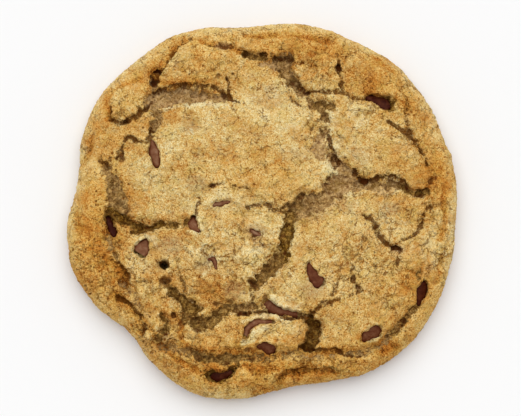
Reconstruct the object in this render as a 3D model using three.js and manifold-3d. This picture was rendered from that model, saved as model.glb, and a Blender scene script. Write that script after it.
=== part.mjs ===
// Chocolate chip cookie: one thick, crackled disc of dough with chocolate chips sunk in its top.
// Millimetres, +Z up. The origin is the middle of the flat underside.
import * as THREE from "three";
import { mergeVertices } from "three/addons/utils/BufferGeometryUtils.js";
import Module from "manifold-3d";

// ---- Dough: driving dimensions ----
const MEAN_RADIUS = 48.4;
const RIM_HEIGHT = 10.2; // top of the dough before plates rise from it and gaps sink into it
const GIRTH_HEIGHT = 3.6; // height of the widest line of the side
const SHOULDER_WIDTH = 8.5; // band over which the top rounds down to the widest line
const SHOULDER_FULLNESS = 0.43; // 0.5 is a plain ellipse; less is fuller
const FOOT_INSET = 2.8; // how much further in the flat underside ends than the widest line
const DOUGH_DETAIL = 17; // each side of the 20 starting triangles is cut into one more than this
const FOOT_SHARE = 0.3; // how densely the underside is meshed, against 1 for the top

// The outline wanders from a circle: [waves round the edge, size, where the crest is in degrees]
const OUTLINE_WAVES = [
  [1, 1.15, 69], [2, 0.9, -8], [3, 0.15, 17], [4, 0.65, -40], [5, 0.8, -29], [6, 0.9, 13],
  [7, 0.5, -6], [8, 0.3, 22], [9, 0.2, -3], [10, 0.25, 8], [11, 0.15, 12],
];

// The side bulges and dips a little on its way round: [waves, size, crest in degrees]
const SIDE_WAVES = [[13, 0.1, -9], [20, 0.15, -3], [29, 0.1, 5]];

// ---- Plates: stretches of crust that the crackled top broke into ----
// Each has its middle, its half width and half depth, how far it is turned, and its lift.
const PLATES = [
  { name: "upper left lump", at: [-33.5, 26.5], half: [5.5, 5.5], turn: 0, lift: 1.2 },
  { name: "shelf", at: [-17, 35], half: [11, 6.5], turn: 12, lift: 1.7 },
  { name: "upper right lump", at: [14, 33], half: [6.5, 5], turn: -10, lift: 1.1 },
  { name: "right shoulder", at: [34, 29], half: [10, 6], turn: -45, lift: 0.6 },
  { name: "small upper", at: [19.5, 25], half: [6, 4], turn: -15, lift: 1.1 },
  { name: "big right", at: [29.5, 17], half: [13, 9.5], turn: -25, lift: 1.8 },
  { name: "big centre", at: [-9, 13.5], half: [25, 14], turn: -6, lift: 2.1 },
  { name: "lower centre", at: [-9, -12.5], half: [15, 10.5], turn: -18, lift: 1.8 },
  { name: "left ridge", at: [-28, -18], half: [5.5, 14.5], turn: 28, lift: 1.5 },
  { name: "big lower right", at: [21, -15.5], half: [19, 16], turn: -20, lift: 2.1 },
  { name: "small right", at: [34.5, -2], half: [6, 4.5], turn: 0, lift: 1.2 },
  { name: "crescent", at: [1, -31.5], half: [11.5, 4.6], turn: 2, lift: 1.7 },
];

// ---- Gaps: where the crust tore and the soft dough shows lower down ----
// Each curves from one end through a middle point to the other, [x, y], with its width at both
// ends and its depth.
const GAPS = {
  "under the shelf": { path: [[-27, 26.7], [-17.8, 27.7], [-8.7, 26.9]], width: [5, 0.7], depth: 3.2 },
  "shelf corner": { path: [[-27, 31.7], [-27.7, 28.9], [-27.2, 25.9]], width: [1.7, 2.5], depth: 3 },
  "foot of the shelf gap": { path: [[-27, 25.4], [-26, 21.7], [-27.5, 19]], width: [2.5, 1.5], depth: 2.6 },
  "left valley": { path: [[-38.6, 10], [-36.6, 4.5], [-35.1, -1.4]], width: [3.2, 5], depth: 1.8 },
  "left gap": { path: [[-37.1, -1.7], [-29.5, -5.7], [-24.8, -3.7]], width: [3.7, 1.7], depth: 3 },
  "left gap end": { path: [[-25.2, -3.7], [-21.5, -4.2], [-17.3, -3.2]], width: [1.7, 1], depth: 2.2 },
  "below the left pit": { path: [[-38.1, -7.4], [-37.4, -10.4], [-36.6, -12.9]], width: [3, 1.7], depth: 1.5 },
  "lower left gap": { path: [[-23.5, -19.4], [-20.3, -22.8], [-16.3, -26.3]], width: [1.7, 4.5], depth: 3.2 },
  "lower left floor": { path: [[-17.8, -27.8], [-13.6, -28.8], [-8.4, -25.3]], width: [4.5, 3], depth: 3 },
  "towards the crescent": { path: [[-8.4, -25.1], [-4.2, -24.3], [0, -24.6]], width: [3, 2.2], depth: 2.8 },
  "crescent end": { path: [[11.9, -27.8], [13.1, -30.3], [11.9, -34.3]], width: [3, 3.7], depth: 4.5 },
  "bottom left gap": { path: [[-17.1, -36.3], [-12.4, -37.5], [-5.9, -37.8]], width: [2, 2.7], depth: 2 },
  "lower rim pit": { path: [[-12.9, -41.5], [-10.4, -42.5], [-6.9, -40.5]], width: [2.5, 2], depth: 3 },
  "top pit": { path: [[5.4, 36.9], [5.9, 33.9], [7.7, 30.9]], width: [3.5, 3], depth: 3.2 },
  "top pit arm": { path: [[0, 35.9], [2.5, 35.6], [5, 35.4]], width: [2.5, 3], depth: 2 },
  "top pit end": { path: [[-4, 38.1], [-1.7, 37.9], [0.5, 37.6]], width: [2, 2.2], depth: 2.5 },
  "step below the top pit": { path: [[7.7, 29.9], [9.4, 26.9], [12.4, 25.4]], width: [2, 2.2], depth: 1.8 },
  "step end": { path: [[13.4, 25.4], [15.8, 25.7], [18.1, 24.9]], width: [2, 1.7], depth: 2.2 },
  "centre right, top": { path: [[15.6, 25.4], [15.6, 22.2], [15.1, 19.5]], width: [2.2, 2], depth: 2.4 },
  "centre right, floor": { path: [[14.8, 19.5], [14.1, 16.5], [13.6, 13.7]], width: [2.5, 5.5], depth: 1.6 },
  "centre right, neck": { path: [[15.8, 14.5], [17.6, 12.2], [19.1, 9.8]], width: [2.2, 2.2], depth: 2 },
  "centre right, middle": { path: [[19.3, 10], [20.8, 7.5], [19.1, 4.8]], width: [3, 6.4], depth: 2.2 },
  "right arm": { path: [[20.8, 5.8], [27.2, 5.5], [34.9, 5.5]], width: [4, 2.2], depth: 2.2 },
  "right arm end": { path: [[34.6, 5.5], [37.1, 3.5], [41.1, 3.8]], width: [2.2, 1.2], depth: 3 },
  "centre right, bottom": { path: [[18.8, 5.3], [14.4, 1.5], [8.9, -0.7]], width: [5, 4.5], depth: 2.4 },
  "foot of centre right": { path: [[9.9, 2.5], [8.7, 0], [6.9, -2.7]], width: [2.5, 3.5], depth: 3 },
  "diagonal, top": { path: [[6.9, -2.2], [6.2, -7.4], [4.7, -12.4]], width: [2.7, 2.2], depth: 3.2 },
  "diagonal, bottom": { path: [[4.7, -12.1], [2, -15.9], [-1.5, -19.4]], width: [2.5, 3], depth: 2.8 },
  "diagonal foot": { path: [[-2, -19.4], [-3, -21.1], [-2.5, -23.3]], width: [1.7, 2], depth: 3 },
  "ridge end": { path: [[-25.2, -26.3], [-23.5, -29.3], [-26, -33.3]], width: [1, 1.5], depth: 1.8 },
  "upper right hole": { path: [[27.5, 26.7], [29.7, 26.2], [31.7, 24.9]], width: [2.2, 3], depth: 3 },
  "right rim hollow": { path: [[39.1, -16.1], [39.1, -17.9], [39.4, -19.6]], width: [1.5, 1.7], depth: 1.2 },
  "right rim valley": { path: [[38.6, -24.1], [36.1, -27.3], [32.4, -31.1]], width: [1.2, 2], depth: 1.2 },
  "bottom right valley": { path: [[32.2, -32.1], [28, -35.5], [20.5, -36.5]], width: [2, 1.7], depth: 1.2 },
  "bottom valley": { path: [[20.5, -36.5], [14.4, -37.3], [6.9, -36.3]], width: [1.7, 2.2], depth: 1 },
  "bottom left valley": { path: [[6.9, -36.3], [0.7, -37.5], [-5.9, -37.3]], width: [2.2, 2.5], depth: 1.2 },
  "lower left valley": { path: [[-27.7, -34.5], [-22.3, -34.8], [-16.6, -36.3]], width: [1.7, 2.2], depth: 1 },
  "greyish valley": { path: [[-34.6, -19.1], [-32.2, -21.4], [-29.7, -25.8]], width: [1.7, 1.5], depth: 1.2 },
  "left shoulder": { path: [[-27.5, 19.2], [-33.2, 17], [-35.6, 12.2]], width: [1.3, 1.6], depth: 2 },
  "shelf and left rim": { path: [[-27, 31.4], [-23.3, 38.4], [-17.8, 42.9]], width: [1.8, 1], depth: 2.4 },
  "above the crescent": { path: [[-5.9, -26.6], [2, -25.8], [10.9, -27.6]], width: [1.4, 1.6], depth: 2.4 },
  "upper ledge": { path: [[8.7, 30.7], [15.6, 28.9], [27, 26.9]], width: [1.2, 1.4], depth: 2 },
  "top rim, right": { path: [[0, 38.6], [6.4, 37.1], [11.6, 37.1]], width: [1.2, 1], depth: 2 },
  "top rim": { path: [[-14.6, 42.1], [-8.9, 41.1], [-3.7, 38.6]], width: [1, 1.2], depth: 1.8 },
  "right edge": { path: [[31.2, 21.5], [38.1, 16.2], [40.8, 10.3]], width: [1, 1.2], depth: 2 },
  "small right plate, left": { path: [[25.5, -1.9], [28.7, -6.7], [33.4, -10.2]], width: [1, 1.6], depth: 2 },
  "left rim": { path: [[-37.1, -13.4], [-33.7, -16.6], [-33.2, -18.6]], width: [1, 1.2], depth: 1.8 },
  "lower left rim": { path: [[-35.9, -22.6], [-31.7, -25.1], [-30.4, -27.1]], width: [1.4, 1.4], depth: 2.2 },
  "bottom rim": { path: [[9.4, -35], [18.6, -35.8], [24.8, -36.5]], width: [1.2, 1.2], depth: 1.8 },
  "centre plate, lower edge": { path: [[-3.5, -0.2], [1.5, 0.5], [6.9, 0.5]], width: [1, 1.2], depth: 1.6 },
};
const GAP_WALL_INSIDE = 0.8; // a gap's wall starts this far inside its width
const GAP_WALL_OUTSIDE = 1; // and reaches the top this far outside it
const GAP_STEPS = 10;
const WOBBLE = 0.45; // how far the torn edges wander

// ---- Chips: drops of chocolate, lying at all angles with one side bare ----
const CHIP_RADIUS = 4.5;
const CHIP_HEIGHT = 7;
const CHIP_SIDES = 10;
const CHIP_CLEARANCE = 0.32; // room round each chip in the dough
// Half profile of a chip, as shares of its radius and height, from the middle of its base
const CHIP_PROFILE = [
  [0, 0], [0.8, 0], [0.97, 0.08], [1, 0.2], [0.9, 0.38], [0.66, 0.6], [0.34, 0.82], [0.12, 0.95], [0, 1],
];
// Each has its middle, how far its highest corner stands proud of the dough, its size, and the
// way its tip leans and points.
const CHIPS = [
  { name: "chip_left_sliver", at: [-26.4, 13.5], proud: 0.4, size: 1, lean: 90, point: 197 },
  { name: "chip_left_corner", at: [-29.5, -9.8], proud: 0.4, size: 0.95, lean: 75, point: 60 },
  { name: "chip_left_pit", at: [-37.6, -4.8], proud: 0.8, size: 0.7, lean: 85, point: 20 },
  { name: "chip_left_gap", at: [-17.1, -3.9], proud: 0.5, size: 0.9, lean: 80, point: 125 },
  { name: "chip_centre_sliver", at: [-9.9, 0.9], proud: 0.3, size: 0.9, lean: 90, point: 95 },
  { name: "chip_smudge", at: [-1.4, -6.4], proud: 0.3, size: 0.8, lean: 90, point: 200 },
  { name: "chip_curl", at: [-11.6, -13.8], proud: 0.4, size: 0.75, lean: 90, point: 20 },
  { name: "chip_right_plate", at: [13.1, -17.3], proud: 0.4, size: 1, lean: 90, point: 35 },
  { name: "chip_upper_right", at: [29.1, 26.2], proud: 0.6, size: 0.95, lean: 70, point: 215 },
  { name: "chip_lower_right", at: [26.9, -31.7], proud: 0.5, size: 0.95, lean: 80, point: 300 },
  { name: "chip_right_rim", at: [39.4, -21.2], proud: 0.4, size: 0.85, lean: 80, point: 150 },
  { name: "chip_long", at: [4.5, -25.5], proud: 0.6, size: 0.95, lean: 90, point: 75 },
  { name: "chip_crescent", at: [-1.9, -30.3], proud: 0.5, size: 0.62, lean: 90, point: 290 },
  { name: "chip_under_crescent", at: [1.2, -34.7], proud: 0.5, size: 0.6, lean: 90, point: 80 },
  { name: "chip_lower_rim", at: [-10.3, -41.9], proud: 0.5, size: 0.75, lean: 85, point: 80 },
];

const degrees = THREE.MathUtils.degToRad;
const smoothstep = THREE.MathUtils.smoothstep;
const lerp = THREE.MathUtils.lerp;

// Sum of waves round the edge, each [count, size, crest]
function wavesAt(angle, waves) {
  let sum = 0;
  for (const [count, size, crest] of waves) sum += size * Math.cos(count * (angle - degrees(crest)));
  return sum;
}

// A torn edge wanders: a place is looked up a little to one side of itself
function wander(x, y) {
  return [
    x + WOBBLE * (Math.sin(1.1 * y + 0.7 * x) + 0.6 * Math.sin(2.3 * y - 1.1 * x + 2)),
    y + WOBBLE * (Math.sin(1.2 * x - 0.5 * y + 1) + 0.6 * Math.sin(2.1 * x + 1.3 * y + 4)),
  ];
}

// How far the highest plate lifts the top here: level in its middle, falling off at its edge
function plateLift(x, y) {
  let highest = 0;
  for (const plate of PLATES) {
    const turn = degrees(plate.turn);
    const dx = x - plate.at[0];
    const dy = y - plate.at[1];
    const along = (dx * Math.cos(turn) + dy * Math.sin(turn)) / plate.half[0];
    const across = (dy * Math.cos(turn) - dx * Math.sin(turn)) / plate.half[1];
    const share = Math.hypot(along, across);
    highest = Math.max(highest, plate.lift * (1 - smoothstep(share, 0.55, 1.25)));
  }
  return highest;
}

// Points along a gap, each with the gap's half width there
function gapPoints(gap) {
  const curve = new THREE.SplineCurve(gap.path.map(([x, y]) => new THREE.Vector2(x, y)));
  return curve.getPoints(GAP_STEPS).map((point, i) => {
    return { point, half: lerp(gap.width[0], gap.width[1], i / GAP_STEPS) / 2 };
  });
}
const GAP_LINES = Object.values(GAPS).map((gap) => ({ depth: gap.depth, points: gapPoints(gap) }));

// How deep the deepest gap is here: a flat floor between steep, slightly rounded walls
function gapDepth(x, y) {
  const here = new THREE.Vector2(x, y);
  let deepest = 0;
  for (const { depth, points } of GAP_LINES) {
    const outside = Math.min(...points.map(({ point, half }) => point.distanceTo(here) - half));
    deepest = Math.max(deepest, depth * (1 - smoothstep(outside, -GAP_WALL_INSIDE, GAP_WALL_OUTSIDE)));
  }
  return deepest;
}

// Height of the rounded shoulder at this radius, before plates and gaps
function shoulderHeight(radius) {
  const inward = THREE.MathUtils.clamp((radius - MEAN_RADIUS + SHOULDER_WIDTH) / SHOULDER_WIDTH, 0, 1);
  return GIRTH_HEIGHT + (RIM_HEIGHT - GIRTH_HEIGHT) * (1 - inward ** 2) ** SHOULDER_FULLNESS;
}

// Plates and gaps belong to the top, and fade out down the side
function topRelief(x, y, height) {
  const topness = smoothstep(height, GIRTH_HEIGHT + 0.5, RIM_HEIGHT - 1.5);
  return topness > 0 ? (plateLift(x, y) - gapDepth(...wander(x, y))) * topness : 0;
}

// Height of the finished top here
function topHeight(x, y) {
  const angle = Math.atan2(y, x);
  const outward = Math.hypot(x, y) / (MEAN_RADIUS + wavesAt(angle, OUTLINE_WAVES));
  const height = shoulderHeight(outward * MEAN_RADIUS);
  return height + topRelief(x, y, height);
}

// Half profile of the dough, from the middle of its top over the side to the middle of its
// underside: each station has its radius, its height and how densely it is meshed
function doughProfile() {
  const steps = 60;
  const stations = [];
  const flatRadius = MEAN_RADIUS - SHOULDER_WIDTH;
  const footRadius = MEAN_RADIUS - FOOT_INSET;
  for (let i = 0; i < steps; i += 1) {
    stations.push({ radius: (flatRadius * i) / steps, height: RIM_HEIGHT, density: 1 });
  }
  for (let i = 0; i < steps; i += 1) {
    const turn = (Math.PI / 2) * (i / steps);
    const radius = flatRadius + SHOULDER_WIDTH * Math.sin(turn);
    stations.push({ radius, height: shoulderHeight(radius), density: 1 });
  }
  for (let i = 0; i < steps; i += 1) {
    const turn = (Math.PI / 2) * (i / steps);
    const radius = footRadius + FOOT_INSET * Math.cos(turn);
    const height = GIRTH_HEIGHT * (1 - Math.sin(turn));
    stations.push({ radius, height, density: 0.8 });
  }
  for (let i = 0; i <= steps; i += 1) {
    stations.push({ radius: footRadius * (1 - i / steps), height: 0, density: FOOT_SHARE });
  }
  return stations;
}

// Adds to each station the share of the meshed area that lies before it
function addShares(stations) {
  let total = 0;
  stations[0].share = 0;
  for (let i = 1; i < stations.length; i += 1) {
    const before = stations[i - 1];
    const here = stations[i];
    const step = Math.hypot(here.radius - before.radius, here.height - before.height);
    total += step * (here.radius + before.radius) * here.density;
    here.share = total;
  }
  for (const station of stations) station.share /= total;
  return stations;
}

// The profile's radius and height where this share of the area lies before
function profileAt(stations, share) {
  const after = Math.max(1, stations.findIndex((station) => station.share >= share));
  const [a, b] = [stations[after - 1], stations[after]];
  const mix = THREE.MathUtils.clamp((share - a.share) / (b.share - a.share), 0, 1);
  return { radius: lerp(a.radius, b.radius, mix), height: lerp(a.height, b.height, mix) };
}

// A ball of even triangles, pressed into the shape of the baked dough
function doughShape() {
  const ball = new THREE.IcosahedronGeometry(1, DOUGH_DETAIL);
  ball.deleteAttribute("normal");
  ball.deleteAttribute("uv");
  const shape = mergeVertices(ball, 1e-5);
  const stations = addShares(doughProfile());
  const position = shape.attributes.position;
  for (let i = 0; i < position.count; i += 1) {
    const angle = Math.atan2(position.getY(i), position.getX(i));
    const { radius, height } = profileAt(stations, (1 - position.getZ(i)) / 2);
    const outward = radius / MEAN_RADIUS;
    const sideness = smoothstep(outward, 0.85, 1);
    const waves = wavesAt(angle, OUTLINE_WAVES) * outward + wavesAt(angle, SIDE_WAVES) * sideness;
    const reach = radius + waves;
    const x = reach * Math.cos(angle);
    const y = reach * Math.sin(angle);
    const isUnderside = height < GIRTH_HEIGHT;
    position.setXYZ(i, x, y, isUnderside ? height : height + topRelief(x, y, height));
  }
  return shape;
}

// A drop turned about its own axis, then leant over. With room round it, it is the pocket.
function leantDrop(chip, room = 0) {
  const radius = CHIP_RADIUS * chip.size + room;
  const height = CHIP_HEIGHT * chip.size + 2 * room;
  const outline = CHIP_PROFILE.map(([r, h]) => new THREE.Vector2(r * radius, (h - 0.5) * height));
  const turned = new THREE.LatheGeometry(outline, CHIP_SIDES);
  turned.deleteAttribute("normal");
  turned.deleteAttribute("uv");
  const shape = mergeVertices(turned, 1e-4);
  shape.rotateX(Math.PI / 2);
  shape.rotateY(degrees(chip.lean));
  shape.rotateZ(degrees(chip.point));
  return shape;
}

// Where the highest corner of a shape is
function highestCorner(shape) {
  const corners = shape.attributes.position;
  let highest = new THREE.Vector3(0, 0, -Infinity);
  for (let i = 0; i < corners.count; i += 1) {
    const corner = new THREE.Vector3().fromBufferAttribute(corners, i);
    if (corner.z > highest.z) highest = corner;
  }
  return highest;
}

// How far a chip is moved so that its middle is at its place and its highest corner stands proud
function chipMove(chip) {
  const drop = leantDrop(chip);
  drop.computeBoundingBox();
  const middle = drop.boundingBox.getCenter(new THREE.Vector3());
  const top = highestCorner(drop);
  const x = chip.at[0] - middle.x;
  const y = chip.at[1] - middle.y;
  return new THREE.Vector3(x, y, topHeight(top.x + x, top.y + y) + chip.proud - top.z);
}

function chipShape(chip, room = 0) {
  const shape = leantDrop(chip, room);
  shape.translate(...chipMove(chip));
  return shape;
}

const wasm = await Module();
wasm.setup();

function toSolid(shape) {
  const vertProperties = new Float32Array(shape.attributes.position.array);
  const triVerts = new Uint32Array(shape.index.array);
  return new wasm.Manifold(new wasm.Mesh({ numProp: 3, vertProperties, triVerts }));
}

function toShape(solid) {
  const mesh = solid.getMesh();
  const shape = new THREE.BufferGeometry();
  shape.setAttribute("position", new THREE.BufferAttribute(new Float32Array(mesh.vertProperties), 3));
  shape.setIndex(new THREE.BufferAttribute(new Uint32Array(mesh.triVerts), 1));
  return shape;
}

// The dough with a pocket for each chip; crumbs that the pockets cut off are dropped
function doughWithPockets() {
  let dough = toSolid(doughShape());
  for (const chip of CHIPS) {
    dough = dough.subtract(toSolid(chipShape(chip, CHIP_CLEARANCE)));
  }
  const bodies = dough.decompose();
  bodies.sort((a, b) => b.volume() - a.volume());
  return toShape(bodies[0]);
}

const bakedDough = new THREE.MeshStandardMaterial({ color: "#c49a5c", roughness: 0.85, metalness: 0 });
const chocolate = new THREE.MeshStandardMaterial({ color: "#5a3522", roughness: 0.4, metalness: 0 });

const cookie = new THREE.Group();

const dough = new THREE.Mesh(doughWithPockets(), bakedDough);
dough.name = "dough";
cookie.add(dough);

for (const chip of CHIPS) {
  const drop = new THREE.Mesh(chipShape(chip), chocolate);
  drop.name = chip.name;
  cookie.add(drop);
}

export default cookie;
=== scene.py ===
import math

import bpy
import numpy as np
from mathutils import Matrix, Vector, noise


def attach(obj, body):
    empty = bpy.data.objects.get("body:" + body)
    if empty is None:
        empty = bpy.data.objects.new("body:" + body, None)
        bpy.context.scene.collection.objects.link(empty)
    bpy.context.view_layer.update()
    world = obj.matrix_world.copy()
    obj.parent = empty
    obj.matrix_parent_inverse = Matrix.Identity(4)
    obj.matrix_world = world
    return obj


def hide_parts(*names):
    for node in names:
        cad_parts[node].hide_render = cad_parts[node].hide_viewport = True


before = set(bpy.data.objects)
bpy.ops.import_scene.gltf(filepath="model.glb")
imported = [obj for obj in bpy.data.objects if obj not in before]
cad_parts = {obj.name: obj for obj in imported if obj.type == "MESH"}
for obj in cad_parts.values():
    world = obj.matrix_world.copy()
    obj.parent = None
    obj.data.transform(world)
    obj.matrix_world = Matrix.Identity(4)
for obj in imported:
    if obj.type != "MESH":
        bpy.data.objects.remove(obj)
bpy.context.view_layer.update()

# Chocolate chip cookie. Shapes below are worked out in millimetres and made in metres.
# +Z is up, and the origin is the middle of the flat underside.
MM = 0.001

# ---- Dough: sizes it shares with its solid ----
MEAN_RADIUS = 48.4
RIM_HEIGHT = 10.2
GIRTH_HEIGHT = 3.6
SHOULDER_WIDTH = 8.5
SHOULDER_FULLNESS = 0.43
FOOT_INSET = 2.8
LEVEL_OFF_HEIGHT = 11.8    # above this the crust is pressed together, and never reaches the next
HIGHEST = 12.9

# The outline wanders from a circle: (waves round the edge, size, where the crest is in degrees)
OUTLINE_WAVES = [
    (1, 0.85, 61), (2, 0.9, -8), (3, 0.15, 17), (4, 0.65, -40), (5, 0.8, -29), (6, 0.9, 13),
    (7, 0.5, -6), (8, 0.3, 22), (9, 0.2, -3), (10, 0.25, 8), (11, 0.15, 12),
]

# Corners and dents of the outline: (where in degrees, half width in degrees, how far out)
OUTLINE_CORNERS = [
    (212, 6, 0.7), (233, 5, 0.4), (269, 7, 0.4), (288, 5, 0.35), (318, 8, 0.3), (348, 5, 0.4),
    (174, 7, -0.5), (191, 4, -0.4), (127, 9, -0.3), (40, 6, -0.4), (113, 3, -0.3), (28, 3, 0.3),
    (16, 1.2, 0.4), (302, 4, 0.3), (223, 4, -0.3), (160, 3, 0.4),
]

# Plates of crust: middle, half width and half depth, turn in degrees, lift
PLATES = {
    "upper left lump": ((-33.5, 26.5), (5.5, 5.5), 0, 1.2),
    "shelf": ((-17, 35), (11, 6.5), 12, 1.7),
    "upper right lump": ((14, 33), (6.5, 5), -10, 1.1),
    "right shoulder": ((34, 29), (10, 6), -45, 0.6),
    "small upper": ((19.5, 25), (6, 4), -15, 1.1),
    "big right": ((29.5, 17), (13, 9.5), -25, 1.8),
    "big centre": ((-9, 13.5), (25, 14), -6, 2.1),
    "lower centre": ((-9, -12.5), (15, 10.5), -18, 1.8),
    "left ridge": ((-28, -18), (5.5, 14.5), 28, 1.5),
    "big lower right": ((21, -15.5), (19, 16), -20, 2.1),
    "small right": ((34.5, -2), (6, 4.5), 0, 1.2),
    "crescent": ((1, -31.5), (11.5, 4.6), 2, 1.7),
}

# Gaps where the crust tore and the soft dough shows lower down. Each is a curve through the points
# in mm, its width along the way, its depth, how far its walls slope in, and how pale its floor is.
# A floor of 0 is drawn dark, as painted shade deep in the gap, 1 is pale, and below 0 it lies in deeper
# painted shade
GAPS = {
    "under the shelf": (((-27, 26.7), (-17.8, 27.7), (-8.7, 26.9)), (5, 3.5, 0.7), 1.3, 0.6, 1),
    "shelf corner": (((-27, 31.7), (-27.7, 28.9), (-27.2, 25.9)), (1.2, 2.3), 1.3, 0.6, 1),
    "foot of the shelf gap": (((-27, 25.4), (-26, 21.7), (-27.2, 19.4)), (2.3, 0.9), 1.1, 0.6, 0.6),
    "left valley": (((-38.6, 9.6), (-36.6, 4.5), (-35.1, -1.4)), (2.2, 4.6), 1, 1.5, 0.55),
    "left gap": (((-37.1, -1.7), (-29.5, -5.7), (-24.8, -4)), (3.2, 1.9), 2.1, 0.9, -0.3),
    "left gap end": (((-25.2, -3.7), (-21.5, -4.2), (-17.3, -3.2)), (1.7, 1), 1.4, 0.5, 0.15),
    "below the left pit": (((-38.1, -7.4), (-37.4, -10.4), (-36.6, -12.9)), (2.2, 1.4), 0.7, 1.3, 0.5),
    "lower left gap": (((-23.5, -19.4), (-20.3, -22.8), (-16.3, -26.3)), (1.2, 2.2, 3.2), 1.8, 0.7, 0.15),
    "lower left floor": (((-17.8, -27.8), (-13.6, -28.8), (-8.4, -25.3)), (3.2, 2.3), 1.7, 0.7, 0.25),
    "towards the crescent": (((-8.4, -25.3), (-4.2, -24.9), (0, -24.8)), (1.9, 1.4), 1.4, 0.7, 0.5),
    "crescent end": (((11.9, -27.8), (13.1, -30.3), (11.9, -34.3)), (2.6, 3.4), 3.2, 0.6, -0.45),
    "bottom left gap": (((-17.1, -36.3), (-12.4, -37.5), (-5.9, -37.8)), (1.8, 2.3), 1.5, 0.8, 0.25),
    "lower rim pit": (((-12.9, -41.5), (-10.4, -42.5), (-6.9, -40.5)), (2.5, 2), 1.9, 0.6, 0),
    "top pit": (((5.4, 36.9), (5.9, 33.9), (7.7, 30.9)), (3.5, 3), 2, 0.6, 0.7),
    "top pit arm": (((0, 35.9), (2.5, 35.6), (5, 35.4)), (2, 2.6), 0.75, 0.9, 0.95),
    "top pit end": (((-4, 38.1), (-1.7, 37.9), (0.5, 37.6)), (2, 2.2), 1.6, 0.6, 0.2),
    "step below the top pit": (((8.4, 29.5), (11, 28), (12.3, 25.6)), (1, 2.4), 0.9, 0.5, 0.8),
    "step end": (((13.4, 25.4), (15.8, 25.7), (18.1, 24.9)), (2, 1.7), 1.4, 0.5, 0.3),
    "centre right, top": (((15.6, 25.4), (15.6, 22.2), (15.1, 19.5)), (2.2, 2), 1.5, 0.7, 0.55),
    "centre right, floor": (((15, 19.5), (14.6, 16.5), (14.3, 13.9)), (2.2, 4.4), 0.75, 0.7, 1),
    "centre right, neck": (((15.8, 14.5), (17.6, 12.2), (19.1, 9.8)), (1.8, 1.8), 0.9, 0.7, 0.9),
    "centre right, middle": (((19.3, 10), (20.8, 7.5), (19.1, 4.8)), (3, 6.2), 1.0, 1, 1),
    "right arm": (((20.8, 5.8), (27.2, 5.5), (34.9, 5.5)), (3.6, 2), 1, 0.8, 0.85),
    "right arm end": (((34.6, 5.5), (37.1, 3.7), (41.1, 3.6)), (1.5, 1), 1.9, 0.5, 0.1),
    "centre right, bottom": (((18.8, 5.3), (14.4, 1.5), (8.9, -0.7)), (5, 4.5), 1.1, 1.2, 0.72),
    "foot of centre right": (((9.9, 2.5), (8.7, 0), (6.9, -2.7)), (2.5, 3.5), 1.5, 0.8, 0.4),
    "diagonal, top": (((6.9, -2.2), (6.2, -7.4), (4.9, -12.4)), (2.7, 2.8), 2, 0.6, 0),
    "diagonal, bottom": (((4.7, -12.1), (2, -15.9), (-1.5, -19.4)), (2.5, 3), 1.7, 0.7, 0.3),
    "diagonal foot": (((-2, -19.4), (-3, -21.1), (-2.5, -23.3)), (0.9, 0.7), 1.3, 0.5, 0.4),
    "ridge end": (((-25.2, -26.3), (-23.5, -29.3), (-26, -33.3)), (1, 1.5), 1.1, 0.6, 0.15),
    "upper right hole": (((27, 27.4), (29.3, 26.8), (31.4, 25.6)), (1.6, 3), 1.9, 0.5, 0),
    "right rim hollow": (((39.1, -16.1), (39.1, -17.9), (39.4, -19.6)), (1.5, 1.7), 0.7, 0.8, 0.2),
    "right rim valley": (((38.6, -24.1), (36.1, -27.3), (32.4, -31.1)), (1.2, 2), 0.7, 1.2, 0.3),
    "bottom right valley": (((32.2, -32.1), (28, -35.5), (20.5, -36.5)), (2, 1.7), 0.7, 1.2, 0.6),
    "bottom valley": (((20.5, -36.5), (14.4, -37.3), (6.9, -36.3)), (1.4, 1.6), 0.6, 1.2, 0.7),
    "bottom left valley": (((6.9, -36.3), (0.7, -37.5), (-5.9, -37.3)), (2.2, 2.5), 0.7, 1.2, 0.35),
    "lower left valley": (((-27.7, -34.5), (-22.3, -34.8), (-16.6, -36.3)), (1.7, 2.2), 0.7, 1.2, 0.5),
    "greyish valley": (((-34.6, -19.1), (-32.2, -21.4), (-29.7, -25.8)), (1.7, 1.5), 0.7, 1.2, 0.7),
}

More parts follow.
